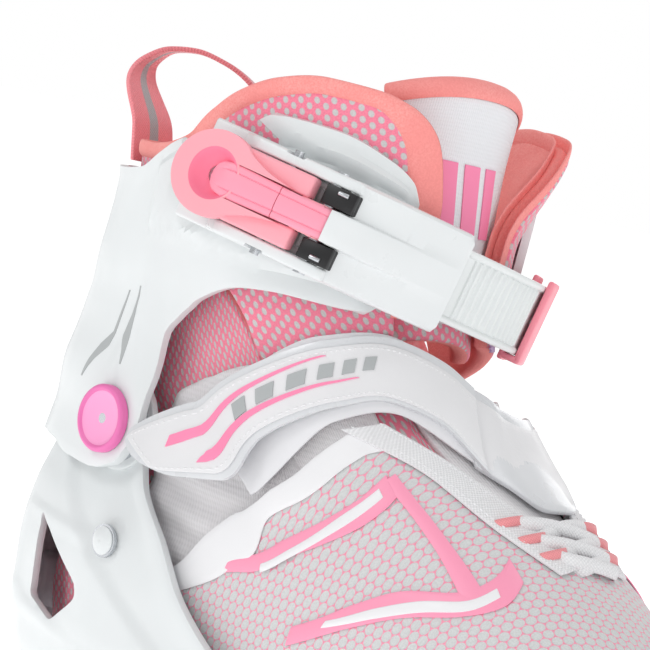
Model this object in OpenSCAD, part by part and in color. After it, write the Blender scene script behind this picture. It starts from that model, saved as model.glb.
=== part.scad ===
// Adjustable ice skate, right foot. +X toe, +Y inner (medial) side, +Z up.
// The origin is on the flat of the blade, midway along it.

/* [Boot] */
// Length scale of the boot, 1 = the size that measures 290 mm over shell and toe cap
length_scale = 1; // [0.96:0.01:1.04]
// Width scale of the boot
width_scale = 1; // [0.98:0.01:1.04]
// Height of the underside of the boot above the ice
sole_z = 54; // [50:1:56]
// Thickness of the moulded shell and cuff walls
wall_t = 3; // [2.4:0.1:3.2]

/* [Cuff] */
// Distance of the ankle pivot behind the middle of the blade
pivot_back = 45; // [43:1:47]
// Height of the ankle pivot above the ice
pivot_z = 150; // [149:1:151]
// Radius of the ankle pivot bolt
pivot_r = 4; // [3.5:0.1:4.5]
// Radius of the round ankle caps
cap_r = 11; // [10:0.5:12]

/* [Buckle] */
// Radius of the arc that the ladder strap runs on
strap_r = 59; // [58.5:0.5:60]
// Width of the ladder strap
ladder_w = 24; // [22:1:24]
// Width of the buckle over its side rails
buckle_w = 33; // [33:0.5:34]
// Number of ladder teeth
ladder_teeth = 35; // [20:1:36]

/* [Blade] */
// Thickness of the steel blade
blade_t = 3; // [2.8:0.1:4]
// Half length of the flat that rests on the ice
flat_half = 45; // [30:1:60]
// Height of the blade under its holder at the middle
blade_h = 18; // [14:1:20]

/* [Hidden] */

$fn = 48;

// ---- The boot's own surface: rounded sections at set heights ----
// [height, heel x, front x, half width, heel squareness, toe squareness, widening to the toe]
SECTIONS = [
    [300, -92, 50, 55, 2.2, 2.2, 0],
    [285, -92, 48, 54, 2.2, 2.2, 0],
    [250, -94, 44, 52, 2.2, 2.2, 0],
    [220, -95, 44, 50, 2.2, 2.2, 0],
    [200, -97, 49, 49, 2.3, 2.2, 0],
    [188, -98, 56, 48, 2.4, 2.2, 0],
    [174, -99, 70, 47, 2.5, 2.2, 0],
    [160, -99, 92, 46.5, 2.7, 2.2, 0.02],
    [150, -99, 112, 46.5, 2.7, 2.2, 0.04],
    [140, -100, 131, 47, 2.7, 2.2, 0.05],
    [128, -102, 149, 48.5, 2.7, 2.25, 0.06],
    [115, -104, 164, 50, 2.7, 2.3, 0.06],
    [100, -105, 175, 51, 2.7, 2.3, 0.07],
    [85, -104, 182, 51, 2.7, 2.3, 0.08],
    [70, -101, 181, 49, 2.7, 2.3, 0.08],
    [54, -96, 174, 45, 2.7, 2.3, 0.08]];
function column(c) = [for (s = SECTIONS) [s[0], s[c]]];
HEEL_X = column(1);
FRONT_X = column(2);
HALF_W = column(3);
HEEL_N = column(4);
TOE_N = column(5);
WIDEN = column(6);

function spow(x, p) = sign(x) * pow(abs(x), p);
function skin(a, z, off) =
    let (back = lookup(z, HEEL_X) * length_scale, front = lookup(z, FRONT_X) * length_scale,
         n = cos(a) < 0 ? lookup(z, HEEL_N) : lookup(z, TOE_N),
         c = spow(cos(a), 2 / n), s = spow(sin(a), 2 / n))
    [(front + back) / 2 + ((front - back) / 2 + off) * c,
     (lookup(z, HALF_W) * width_scale + off) * s * (1 + lookup(z, WIDEN) * c), z];

// ---- Solids between an outer and an inner grid of points ----
function quad(a, b, c, d) = [[a, b, c], [a, c, d]];
function flat(lists) = [for (l = lists) for (e = l) e];
// Open sheet: rows run along the height, columns run round the boot
module sheet(outer, inner) {
    rows = len(outer);
    cols = len(outer[0]);
    n = rows * cols;
    function o(i, j) = j * cols + i;
    function p(i, j) = n + j * cols + i;
    walls = [for (j = [0:rows - 2]) for (i = [0:cols - 2]) each concat(
        quad(o(i, j), o(i, j + 1), o(i + 1, j + 1), o(i + 1, j)),
        quad(p(i, j), p(i + 1, j), p(i + 1, j + 1), p(i, j + 1)))];
    ends = [for (i = [0:cols - 2]) each concat(
        quad(o(i, 0), o(i + 1, 0), p(i + 1, 0), p(i, 0)),
        quad(o(i + 1, rows - 1), o(i, rows - 1), p(i, rows - 1), p(i + 1, rows - 1)))];
    sides = [for (j = [0:rows - 2]) each concat(
        quad(o(0, j + 1), o(0, j), p(0, j), p(0, j + 1)),
        quad(o(cols - 1, j), o(cols - 1, j + 1), p(cols - 1, j + 1), p(cols - 1, j)))];
    polyhedron(concat(flat(outer), flat(inner)), concat(walls, ends, sides), convexity = 10);
}
// Closed ring of the same kind: the last column joins the first
module ring(outer, inner) {
    rows = len(outer);
    cols = len(outer[0]);
    n = rows * cols;
    function o(i, j) = j * cols + i % cols;
    function p(i, j) = n + j * cols + i % cols;
    walls = [for (j = [0:rows - 2]) for (i = [0:cols - 1]) each concat(
        quad(o(i, j), o(i, j + 1), o(i + 1, j + 1), o(i + 1, j)),
        quad(p(i, j), p(i + 1, j), p(i + 1, j + 1), p(i, j + 1)))];
    ends = [for (i = [0:cols - 1]) each concat(
        quad(o(i, 0), o(i + 1, 0), p(i + 1, 0), p(i, 0)),
        quad(o(i + 1, rows - 1), o(i, rows - 1), p(i, rows - 1), p(i + 1, rows - 1)))];
    polyhedron(concat(flat(outer), flat(inner)), concat(walls, ends), convexity = 10);
}
function mix(a, b, t) = a + (b - a) * t;
function steps(n) = [for (i = [0:n]) i / n];

// Grid on the boot between two heights that depend on the angle
function band_grid(angles, low, high, off, rows) =
    [for (v = steps(rows)) [for (a = angles)
        let (z = mix(low(a), high(a), v)) skin(a, z, off(a, z))]];

// Ribbon on the boot: each row of the path is [angle, height, angle, height] of its two edges
function path_at(path, t) =
    let (f = t * (len(path) - 1), i = min(floor(f), len(path) - 2))
    mix(path[i], path[i + 1], f - i);
function ribbon_grid(path, off, cols, rows) =
    [for (v = steps(rows)) [for (u = steps(cols))
        let (e = path_at(path, u)) skin(mix(e[0], e[2], v), mix(e[1], e[3], v), off(u, v))]];

// ---- Ankle pivot and the split between boot and cuff ----
pivot_x = -pivot_back;
split_r = 58;
split_gap = 1.8;
// Slopes of the two sides of the flex gap in front of the ankle
split_low = 20;
split_high = 30;
function split_z(x, r, slope) =
    x > pivot_x + r * cos(slope) ? pivot_z + (x - pivot_x) * tan(slope)
    : pivot_z + sqrt(max(r * r - pow(x - pivot_x, 2), 0));
// Height at which the boot's surface meets the split, by repeated substitution
function split_at(a, r, slope, off, z = 190, n = 4) =
    n == 0 ? z : split_at(a, r, slope, off, split_z(skin(a, z, off)[0], r, slope), n - 1);

// ---- Frame of the buckle: its strap runs on an arc about strap_c ----
strap_c = [-8, 2, 223];
strap_tilt = [-10, 7, 0];
buckle_turn = 18.5;
module strap_frame() {
    translate(strap_c) rotate(strap_tilt) rotate(buckle_turn) children();
}
// In the buckle's frame X runs along the strap, -Y points out and Z is the lever's axle
module buckle_frame() {
    strap_frame() translate([0, -strap_r, 0]) children();
}
// Arc sector from angle f0 to f1, measured from the buckle, with radial and axial limits
module arc(r0, r1, z0, z1, f0, f1) {
    strap_frame() rotate(f0 - 90) rotate_extrude(angle = f1 - f0, $fn = 180)
        translate([r0, z0]) square([r1 - r0, z1 - z0]);
}
module y_rod(r, y0, y1, bore = 0) {
    translate([0, y0, 0]) rotate([-90, 0, 0]) difference() {
        cylinder(r = r, h = y1 - y0);
        if (bore > 0) translate([0, 0, -1]) cylinder(r = bore, h = y1 - y0 + 2);
    }
}
module z_rod(r, half, bore = 0) {
    translate([0, 0, -half]) difference() {
        cylinder(r = r, h = 2 * half);
        if (bore > 0) translate([0, 0, -1]) cylinder(r = bore, h = 2 * half + 2);
    }
}
module both_sides() {
    children();
    mirror([0, 1, 0]) children();
}
module at_pivot() { translate([pivot_x, 0, pivot_z]) children(); }
module rod(p, q, r) {
    d = q - p;
    l = norm(d);
    translate(p) rotate([0, acos(d[2] / l), atan2(d[1], d[0])]) cylinder(r = r, h = l);
}

// ---- Shell ----
ear_in = 46.4;
ear_out = 49;
cuff_in = 51.3;
cuff_out = 55;
// How far the shell stands off the boot, by height
SHELL_OFF = [[54, 6], [70, 8], [85, 9], [100, 9], [120, 8], [130, 6.5], [142, 4.6], [170, 4.6]];
// Angle of the shell's front edge, by height
SHELL_EDGE = [[54, 76], [70, 80], [85, 88], [105, 95], [120, 99], [134, 105], [150, 108]];
shell_rivet = [-32, 113];
nut_r = 7;
// Seats of the rivet heads: on the shell outside, on the instep strap inside
RIVET_SEAT = [[-1, 54.9], [1, 58.7]];
module at_rivet(side) translate([shell_rivet[0], 0, shell_rivet[1]])
    mirror([0, side < 0 ? 1 : 0, 0]) children();
function shell_grid(inset) = [for (v = steps(15)) [for (u = steps(56))
    let (z = mix(sole_z + plate_t, 144, v), e = lookup(z, SHELL_EDGE), a = e + u * (360 - 2 * e))
    skin(a, z, lookup(z, SHELL_OFF) - inset)]];
module window() {
    // Triangular window low on each side of the heel, apex up
    rotate([90, 0, 0]) linear_extrude(80)
        polygon([[-77, 112], [-74, 84], [-56, 80], [-42, 91], [-43, 95]]);
}
module base_shell() color("whitesmoke") difference() {
    union() {
        sheet(shell_grid(0), shell_grid(wall_t));
        both_sides() at_pivot() y_rod(16, ear_in, ear_out);
    }
    both_sides() at_pivot() y_rod(pivot_r + 0.02, 40, 60);
    both_sides() at_pivot() y_rod(nut_r + 0.3, 30, ear_in);
    both_sides() translate([shell_rivet[0], 0, shell_rivet[1]]) y_rod(3.02, 40, 70);
    at_rivet(-1) y_rod(5.7, RIVET_SEAT[0][1], 60);
    both_sides() window();
}
module heel_bumper() color("white") difference() {
    intersection() {
        translate([-118, -16, 66]) cube([22, 32, 26]);
        translate([-106, 0, 79]) rotate([0, 12, 0]) cylinder(r = 15, h = 26, center = true);
    }
    linear_extrude(200) offset(0.6) polygon(footprint(85, 9));
}
module shell_rivets() color("silver") for (r = RIVET_SEAT) at_rivet(r[0]) {
    y_rod(3, 46, r[1] + 1.2);
    y_rod(5.4, r[1], r[1] + 1.2);
}
module rivet_domes() color("white") for (r = RIVET_SEAT) at_rivet(r[0])
    translate([0, r[1] + 1.2, 0]) rotate([-90, 0, 0]) intersection() {
        translate([0, 0, -9]) sphere(r = 10.4);
        cylinder(r = 4.6, h = 4);
    }

// ---- Sole, holder and blade ----
function footprint(z, off) = [for (a = [0:4:359]) let (p = skin(a, z, off)) [p[0], p[1]]];
// Slab of the boot's outline between two lengths and two heights
module slab(outline_z, off, x0, x1, z0, h) intersection() {
    translate([0, 0, z0]) linear_extrude(h) polygon(footprint(outline_z, off));
    translate([x0, -100, z0 - 1]) cube([x1 - x0, 200, h + 2]);
}
plate_t = 7.7;
module sole_plate() color("whitesmoke") difference() {
    slab(56, 4, -200, 146, sole_z, plate_t);
    for (x = HOLDER_X) for (s = [-1, 1]) translate([x, s * holder_hole_y, sole_z - 1])
        cylinder(r = 2.52, h = 12);
    // Pocket of the size button and its spring
    translate([button_x - button_l / 2 - 0.3, -60, sole_z + 1.2]) cube([button_l + 0.6, 26, 5.2]);
}
HOLDER_X = [-84, -56, 58, 98];
holder_hole_y = 20;
holder_t = 12;
rail_z0 = blade_h;
rail_z1 = blade_h + 13;
module tower(x0, x1, lean) hull() {
    translate([x0 + lean, -holder_t / 2, rail_z0 + 4]) cube([x1 - x0, holder_t, 2]);
    translate([x0 - 8, -9, sole_z - 8]) cube([x1 - x0 + 16, 18, 1]);
}
module holder_plate(x0, x1) hull() {
    for (x = [x0, x1]) for (y = [-21, 21]) translate([x, y, sole_z - 4])
        cylinder(r = 8, h = 4, $fn = 32);
}
module blade_holder() color("white") difference() {
    union() {
        translate([-112, -holder_t / 2, rail_z0]) cube([262, holder_t, rail_z1 - rail_z0]);
        tower(-86, -52, 4);
        tower(54, 102, -4);
        translate([-94, -9, sole_z - 8]) cube([50, 18, 6]);
        translate([46, -9, sole_z - 8]) cube([64, 18, 6]);
        holder_plate(-86, -54);
        holder_plate(56, 100);
    }
    translate([-130, -blade_t / 2 - 0.02, rail_z0 - 1]) cube([300, blade_t + 0.04, 10]);
    for (x = BLADE_BOLT_X) translate([x, -20, rail_z0 + 5]) y_rod(2.52, 0, 40);
    for (x = HOLDER_X) for (s = [-1, 1]) translate([x, s * holder_hole_y, sole_z - 6])
        cylinder(r = 2.52, h = 12);
}
BLADE_BOLT_X = [-100, 138];
rocker_r = 2400;
// Height of the blade's lower edge: flat in the middle, then a large arc up to each end
function edge_z(x) = abs(x) <= flat_half ? 0
    : rocker_r - sqrt(rocker_r * rocker_r - pow(abs(x) - flat_half, 2));
module blade() color("silver") difference() {
    rotate([90, 0, 0]) translate([0, 0, -blade_t / 2]) linear_extrude(blade_t)
        polygon(concat(
            [for (x = [-118:5:-flat_half]) [x, edge_z(x)]],
            [for (x = [flat_half:5:146]) [x, edge_z(x)]],
            [[153, 5], [157, 9], [159, 14], [158, rail_z0 - 0.3], [152, rail_z0 - 0.3],
             [148, rail_z0 + 8.8], [-110, rail_z0 + 8.8], [-113, rail_z0 - 0.3],
             [-122, rail_z0 - 0.3], [-123, 6]]));
    for (x = BLADE_BOLT_X) translate([x, -20, rail_z0 + 5]) y_rod(2.52, 0, 40);
}
module blade_bolts() color("gray") for (x = BLADE_BOLT_X) translate([x, 0, rail_z0 + 5]) {
    y_rod(2.5, -holder_t / 2, holder_t / 2);
    y_rod(4.5, -holder_t / 2 - 1.8, -holder_t / 2);
    y_rod(4.5, holder_t / 2, holder_t / 2 + 1.8);
}
module holder_screws() color("silver") for (x = HOLDER_X) for (s = [-1, 1])
    translate([x, s * holder_hole_y, sole_z - 6.6]) {
        cylinder(r = 2.5, h = 13.6);
        cylinder(r = 4.4, h = 2.6);
    }
module heel_wedge() color("lightgray") slab(66, -2, -200, 24, sole_z + plate_t, 8.3);
module footbed() color("pink") slab(75, -11, -200, 200, 74.4, 4);

// ---- Soft boot ----
LINER_OUT = -4.6;
LINER_IN = -9.6;
// Upper edge of the opening over the instep, by the angle from the toe
THROAT = [[0, 143], [8, 143], [14, 149], [20, 158], [25, 168], [29, 178], [30.5, 190], [31, 230]];
liner_columns = [0, 4, 8, 14, 20, 25, 29, 30.5, 31.5, 36, 42, 48, 54, 60, 66, 72, 78, 84, 90, 96,
    102, 108, 114, 120, 126, 132, 138, 144, 150, 156, 162, 168, 174];
LINER_ANGLES = concat(liner_columns, [180],
    [for (i = [len(liner_columns) - 1:-1:1]) 360 - liner_columns[i]]);
function side_angle(a) = a > 180 ? 360 - a : a;
function liner_grid(off) = band_grid(LINER_ANGLES, function(a) 70,
    function(a) min(lookup(side_angle(a), THROAT), split_at(a, split_r, split_low, off)),
    function(a, z) off, 14);
module foot_liner() color("pink") {
    ring(liner_grid(LINER_OUT), liner_grid(LINER_IN));
    slab(72, LINER_OUT - 2.4, -200, 200, 70, 4.4);
}
TONGUE_LOW = [[-28.5, 185, 28.5, 185], [-27.5, 178, 27.5, 178], [-23.5, 168, 23.5, 168],
    [-18.5, 158, 18.5, 158], [-12.5, 149.5, 12.5, 149.5], [-7, 144, 7, 144]];
module tongue_lower() color("white") sheet(
    ribbon_grid(TONGUE_LOW, function(u, v) -3, 14, 10),
    ribbon_grid(TONGUE_LOW, function(u, v) -8, 14, 10));
// Knit gusset between the shell and the sliding forefoot
GUSSET_HIGH = [[40, 178], [60, 182], [75, 180], [90, 172], [100, 160], [108, 146]];
gusset_angles = [for (a = [-108:6:-42]) a];
gusset_high = function(a) min(lookup(-a, GUSSET_HIGH), split_at(a, split_r, split_low, -2.6) - 2);
function gusset_grid(off) =
    band_grid(gusset_angles, function(a) 108, gusset_high, function(a, z) off, 8);
module gusset() color("whitesmoke") both_sides() sheet(gusset_grid(-2.6), gusset_grid(-4));

// ---- Sliding forefoot ----
VAMP_HIGH = [[0, 147], [13, 157], [26, 166], [40, 172], [48, 170], [57, 165], [73, 153],
    [88, 139], [94, 126], [98, 114], [104, 104]];
VAMP_ANGLES = [for (a = [-104:6.5:104]) a];
vamp_high = function(a) lookup(abs(a), VAMP_HIGH);
module vamp() color("hotpink") sheet(
    band_grid(VAMP_ANGLES, function(a) 67.2, vamp_high, function(a, z) 1, 14),
    band_grid(VAMP_ANGLES, function(a) 67.2, vamp_high, function(a, z) -0.8, 14));
CAP_HIGH = [[0, 104], [20, 101], [40, 92], [50, 84], [60, 76], [72, 72]];
CAP_ANGLES = [for (a = [-72:6:72]) a];
cap_high = function(a) lookup(abs(a), CAP_HIGH);
module toe_cap() color("hotpink") sheet(
    band_grid(CAP_ANGLES, function(a) 67.2, cap_high, function(a, z) 3.8, 6),
    band_grid(CAP_ANGLES, function(a) 67.2, cap_high, function(a, z) 1.4, 6));
module toe_sole() color("whitesmoke") difference() {
    union() {
        slab(62, 3, 30, 200, 62, 5.2);
        slab(69, -2, 30, 200, 67, 2.6);
    }
    translate([50, -14, 60]) cube([60, 8, 4.6]);
}
module size_rack() color("dimgray") translate([52, -13.6, 62.1]) difference() {
    cube([56, 7.2, 2.5]);
    for (i = [0:8]) translate([2 + 6 * i, -1, -1]) cube([3, 5, 2.4]);
}
EYESTAY = [[54, 169, 40, 173.4], [36, 163, 26, 167.3], [25, 152.5, 13, 158.4], [15, 145.5, 3, 148.5]];
function eyestay_path(side) = [for (e = EYESTAY)
    side > 0 ? [e[2], e[3], e[0], e[1]] : [-e[0], e[1], -e[2], e[3]]];
module eyestay(side) sheet(ribbon_grid(eyestay_path(side), function(u, v) 3.4, 12, 3),
    ribbon_grid(eyestay_path(side), function(u, v) 1.6, 12, 3));
module eyestay_lateral() color("white") eyestay(-1);
module eyestay_medial() color("white") eyestay(1);
LACE_T = [0.66, 0.77, 0.88];
lace_step = 0.14;
lace_w = 5;
function stay_a(t) = let (e = path_at(EYESTAY, t)) (e[0] + e[2]) / 2;
function stay_z(t) = let (e = path_at(EYESTAY, t)) (e[1] + e[3]) / 2;
// Lace number t crosses from one eyestay to the other and climbs one step
function lace_row(t, side, s) = let (
    a = side * mix(-stay_a(t + lace_step), stay_a(t), s),
    z = mix(stay_z(t + lace_step), stay_z(t), s) + 9 * (1 - t) * (1 - pow(2 * s - 1, 2)))
    [a, z - lace_w / 2, a, z + lace_w / 2];
function lace_path(t, side) = let (rows = [for (s = steps(8)) lace_row(t, side, mix(0.1, 0.9, s))])
    side > 0 ? rows : [for (i = [8:-1:0]) rows[i]];
module lace(t, side, off) sheet(
    ribbon_grid(lace_path(t, side), function(u, v) off + 1.6, 10, 1),
    ribbon_grid(lace_path(t, side), function(u, v) off, 10, 1));
module laces() color("white") for (t = LACE_T) {
    lace(t, 1, 4);
    lace(t, -1, 6);
}
module lace_loops() color("salmon") for (t = LACE_T) for (s = [-1, 1])
    rod(skin(s * (stay_a(t) + 4), stay_z(t), 5.8), skin(s * (stay_a(t) + 4), stay_z(t), 7), 1.5);

// ---- Instep strap ----
STRAP = [[-2, 188, -13, 166], [-12, 194, -19, 176], [-30, 198, -35, 180], [-50, 193, -52, 175],
    [-78, 176, -76, 161], [-95, 158, -90, 144], [-104, 147, -98, 139]];
STRAP_MEDIAL = [[0.5, 187, -10.5, 166], [8, 184, 1, 159], [18, 185, 13, 162], [30, 188, 27, 174],
    [40, 188, 40, 177], [50, 186, 52, 174], [76, 170, 74, 155], [86, 151, 83, 138], [95, 138, 92, 126],
    [104, 124, 98, 114], [113, 118, 106, 106]];
strap_in = 1.7;
strap_t = 2.2;
flap_off = function(u, v) strap_in + 11.2 * pow(max(u - 0.45, 0) / 0.55, 1.4);
medial_off = function(u, v) strap_in + 7.6 * pow(max(u - 0.5, 0) / 0.5, 0.6);
module instep_strap() color("gainsboro") difference() {
    sheet(ribbon_grid([for (e = STRAP_MEDIAL) [e[2], e[3], e[0], e[1]]],
            function(u, v) medial_off(u, v) + strap_t, 36, 5),
        ribbon_grid([for (e = STRAP_MEDIAL) [e[2], e[3], e[0], e[1]]], medial_off, 36, 5));
    at_rivet(1) y_rod(3.02, 40, 70);
    at_rivet(1) y_rod(5.7, RIVET_SEAT[1][1], 70);
}
module instep_strap_flap() color("gainsboro") sheet(
    ribbon_grid(STRAP, function(u, v) flap_off(u, v) + strap_t, 30, 5),
    ribbon_grid(STRAP, flap_off, 30, 5));
LOOP_PAD = [[-4, 189, -14, 168], [-30, 199, -34, 177], [-52, 194, -54, 171], [-76, 178, -74, 156],
    [-92, 162, -88, 142]];
module loop_pad() color("lightgray") sheet(
    ribbon_grid(LOOP_PAD, function(u, v) 1.3, 20, 4),
    ribbon_grid(LOOP_PAD, function(u, v) 0.3, 20, 4));

// ---- Ankle pivot hardware ----
module pivot_bolts() color("silver") both_sides() at_pivot() {
    y_rod(pivot_r, 45.2, cuff_out + 0.15);
    y_rod(7.5, cuff_out + 0.15, cuff_out + 1.4);
}
module pivot_nuts() color("gray") both_sides() at_pivot() y_rod(nut_r, ear_in - 1.8, ear_in, pivot_r);
module pivot_washers() color("silver") both_sides() at_pivot()
    y_rod(13.5, ear_out, cuff_in - 0.25, pivot_r + 0.02);
module pivot_caps() color("hotpink") both_sides() at_pivot() difference() {
    y_rod(cap_r, cuff_out, cuff_out + 3);
    y_rod(8.4, cuff_out - 1, cuff_out + 2);
}

// ---- Cuff ----
// Upper and lower edge of the cuff by the angle from the toe
CUFF_HIGH = [[26, 240], [29, 246], [37, 251], [53, 256], [68, 257], [85, 252], [95, 245],
    [104, 237], [112, 231], [130, 229], [180, 229]];
CUFF_LOW = [[26, 228], [28, 216], [31, 209.5], [36.5, 205], [48, 204], [60, 204], [74, 202.5],
    [87, 195], [92, 187], [94.5, 182], [96.5, 168], [99.2, 157], [103.5, 146], [108.4, 137],
    [115, 133.5], [125, 133.5], [135, 136], [180, 136]];
// The inner wing is shorter than the outer one by this angle
wing_cut = 14;
CUFF_OFF = [[134, 12.6], [142, 12], [150, 10.6], [165, 8], [180, 6], [200, 5], [260, 5]];
CUFF_ANGLES = [26, 29, 33, 38, 44, 50, 56, 62, 68, 74, 80, 85, 89, 92, 94.5, 96.5, 99.2, 103.5,
    108.4, 112, 118, 125, 132, 138, 144, 150, 157, 164, 172];
// Angle of the same point of the outline on the shorter inner wing
function short_side(a) = a < 62 ? 26 + wing_cut + (a - 26) * (36 - wing_cut) / 36 : a;
CUFF_SIDE = concat([for (a = CUFF_ANGLES) [short_side(a), a]], [[180, 180]],
    [for (i = [len(CUFF_ANGLES) - 1:-1:0]) [360 - CUFF_ANGLES[i], CUFF_ANGLES[i]]]);
function cuff_grid(inset) = [for (v = steps(12)) [for (c = CUFF_SIDE)
    let (z = mix(lookup(c[1], CUFF_LOW), lookup(c[1], CUFF_HIGH), v))
    skin(c[0], z, lookup(z, CUFF_OFF) - inset)]];
module cuff() color("whitesmoke") difference() {
    union() {
        sheet(cuff_grid(0), cuff_grid(wall_t));
        both_sides() at_pivot() y_rod(14, cuff_in, cuff_out);
    }
    both_sides() at_pivot() y_rod(14, 30, cuff_in);
    both_sides() at_pivot() y_rod(17, 30, ear_out + 0.6);
    both_sides() at_pivot() y_rod(pivot_r + 0.05, 40, 60);
    both_sides() at_pivot() y_rod(cap_r + 0.3, cuff_out, 60);
    buckle_frame() rivet_bores();
    // Seat of the buckle and its guide, and the way of the ladder's anchor on the inner wing
    buckle_frame() translate([-35, -20, -buckle_w / 2 - 0.5]) cube([34, 22.45, buckle_w + 1]);
    arc(strap_r - 2.45, strap_r + 10, -buckle_w / 2 - 0.5, buckle_w / 2 + 0.5, -4, guide_f1 + 1);
    arc(strap_r - 2.3, strap_r + 10, -17, 15, 62, 128);
}

// ---- Collar, tongue top and pull loop: they lean with the cuff ----
COLLAR_HIGH = [[20, 236], [26, 257], [34, 266], [44, 269], [60, 269.5], [84, 262], [100, 246],
    [120, 240], [180, 240]];
collar_columns = [for (a = [20:6:176]) a];
COLLAR_ANGLES = concat(collar_columns, [180], [for (i = [len(collar_columns) - 1:-1:0])
    360 - collar_columns[i]]);
collar_high = function(a) lookup(side_angle(a), COLLAR_HIGH);
// The collar stands out towards its rim and draws in towards the flex gap
function flare(z) = max(z - 235, 0) * 0.09 - 2.2 * min(max((222 - z) / 20, 0), 1);
function collar_grid(off) = band_grid(COLLAR_ANGLES,
    function(a) split_at(a, split_r + split_gap, split_high, off - 2.2), collar_high,
    function(a, z) flare(z) + off, 10);
module collar_liner() color("hotpink") sheet(collar_grid(0), collar_grid(-6));
rim_gap = 0.3;
rim_h = 4;
function rim_grid(angles, top, off) = band_grid(angles, function(a) top(a) + rim_gap,
    function(a) top(a) + rim_h, off, 2);
module collar_binding() color("salmon") sheet(
    rim_grid(COLLAR_ANGLES, collar_high, function(a, z) flare(z) + 0.4),
    rim_grid(COLLAR_ANGLES, collar_high, function(a, z) flare(z) - 6.4));
tongue_angles = [for (a = [-42:6:42]) a];
tongue_low_z = function(a) split_at(a, split_r + split_gap, split_high, -9);
tongue_top_z = function(a) 281 - 8 * pow(abs(a) / 42, 2);
function tongue_off(z) = -7.6 - max(z - 205, 0) * 0.06 - 2.2 * min(max((222 - z) / 20, 0), 1);
module tongue_upper() color("pink") sheet(
    band_grid(tongue_angles, tongue_low_z, tongue_top_z, function(a, z) tongue_off(z), 10),
    band_grid(tongue_angles, tongue_low_z, tongue_top_z, function(a, z) tongue_off(z) - 6, 10));
face_angles = [for (a = [-36:6:36]) a];
function face_grid(off) = band_grid(face_angles, function(a) 206,
    function(a) tongue_top_z(a) - 7, function(a, z) tongue_off(z) + off, 6);
module tongue_face() color("white") sheet(face_grid(1.3), face_grid(0.35));
module tongue_top() color("salmon") sheet(
    rim_grid(tongue_angles, tongue_top_z, function(a, z) tongue_off(z) + 0.8),
    rim_grid(tongue_angles, tongue_top_z, function(a, z) tongue_off(z) - 6.4));
// Webbing loop: [point, half width vector] stations from the outer to the inner stitched end
LOOP = [
    [[-94, -17, 244.6], [0, 9, 0]], [[-99, -18.5, 248.5], [-0.5, 9, 0]],
    [[-104.5, -18.5, 253.5], [-1.5, 8.8, 0]], [[-110, -16.5, 259.5], [-3, 8.4, 0]],
    [[-113.5, -11, 265.5], [-4.6, 7.6, 0]], [[-113, -3, 270], [-5.8, 6.8, 0]],
    [[-109, 6, 271.5], [-6.4, 6.3, 0]], [[-103, 14, 270], [-6.4, 6.3, 0]],
    [[-97.5, 22, 265.5], [-6.2, 6.5, 0]], [[-92, 28, 256], [-5.4, 7.2, 0]],
    [[-87, 31, 244.6], [-4.6, 7.6, 0]]];
loop_t = 1.8;
function loop_dir(i) = let (a = LOOP[max(i - 1, 0)][0], b = LOOP[min(i + 1, len(LOOP) - 1)][0])
    (b - a) / norm(b - a);
function loop_row(i, s) = let (w = LOOP[i][1], n = cross(loop_dir(i), w) / norm(w))
    [LOOP[i][0] - w + n * s, LOOP[i][0] + w + n * s];
module pull_loop() color("hotpink") sheet(
    [for (i = [0:len(LOOP) - 1]) loop_row(i, -loop_t / 2)],
    [for (i = [0:len(LOOP) - 1]) loop_row(i, loop_t / 2)]);
module medial_flap_tape() color("thistle") sheet(
    band_grid([20:3:26], function(a) 200, function(a) 224, function(a, z) flare(z) + 1.4, 3),
    band_grid([20:3:26], function(a) 200, function(a) 224, function(a, z) flare(z) + 0.3, 3));

// ---- Buckle ----
rail_t = 3.6;
rail_h = 8.6;
// Places along and out of the strap of the lever's axle, the lock pin and the drive pawl's pin
axle_at = [17, -6.2];
lock_at = [0, -5.2];
drive_at = [9, -7.2];
trigger_at = [-7, -8.9];
axle_r = 2;
small_pin_r = 1.2;
BUCKLE_RIVET_X = [-27, -14];
lever_half = 11.6;
module rivet_bores() for (x = BUCKLE_RIVET_X) translate([x, 0, 0]) rotate([-90, 0, 0])
    translate([0, 0, -3]) cylinder(r = 1.82, h = 14);
module buckle_base() color("whitesmoke") difference() {
    union() {
        buckle_frame() translate([-34, 0, -buckle_w / 2]) cube([30.5, 2.4, buckle_w]);
        arc(strap_r - 2.4, strap_r, -buckle_w / 2, buckle_w / 2, -4, 21);
        buckle_frame() for (s = [0, 1]) mirror([0, 0, s])
            translate([-24, -rail_h, buckle_w / 2 - rail_t]) cube([45.5, rail_h + 0.6, rail_t]);
    }
    buckle_frame() {
        translate(axle_at) z_rod(axle_r + 0.02, 20);
        translate(lock_at) z_rod(1.52, 20);
        rivet_bores();
    }
}
module buckle_rivets() color("silver") buckle_frame() for (x = BUCKLE_RIVET_X)
    translate([x, 0, 0]) rotate([-90, 0, 0]) {
        translate([0, 0, -1.2]) cylinder(r = 3.4, h = 1.2);
        cylinder(r = 1.8, h = 8.4);
    }
guide_f0 = 22;
guide_f1 = 55;
guide_half = 15.2;
module strap_guide() color("whitesmoke") {
    arc(strap_r + 3.6, strap_r + 5.6, -guide_half, guide_half, guide_f0, guide_f1);
    for (s = [-1, 1]) arc(strap_r, strap_r + 4, s > 0 ? 12.8 : -guide_half,
        s > 0 ? guide_half : -12.8, guide_f0, guide_f1);
    arc(strap_r - 2, strap_r + 0.1, -guide_half, guide_half, guide_f0, guide_f1);
}
module lever_axle() color("silver") buckle_frame() translate(axle_at) z_rod(axle_r, buckle_w / 2);
module lock_pin() color("silver") buckle_frame() translate(lock_at)
    z_rod(1.5, buckle_w / 2 + 0.6);
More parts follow.
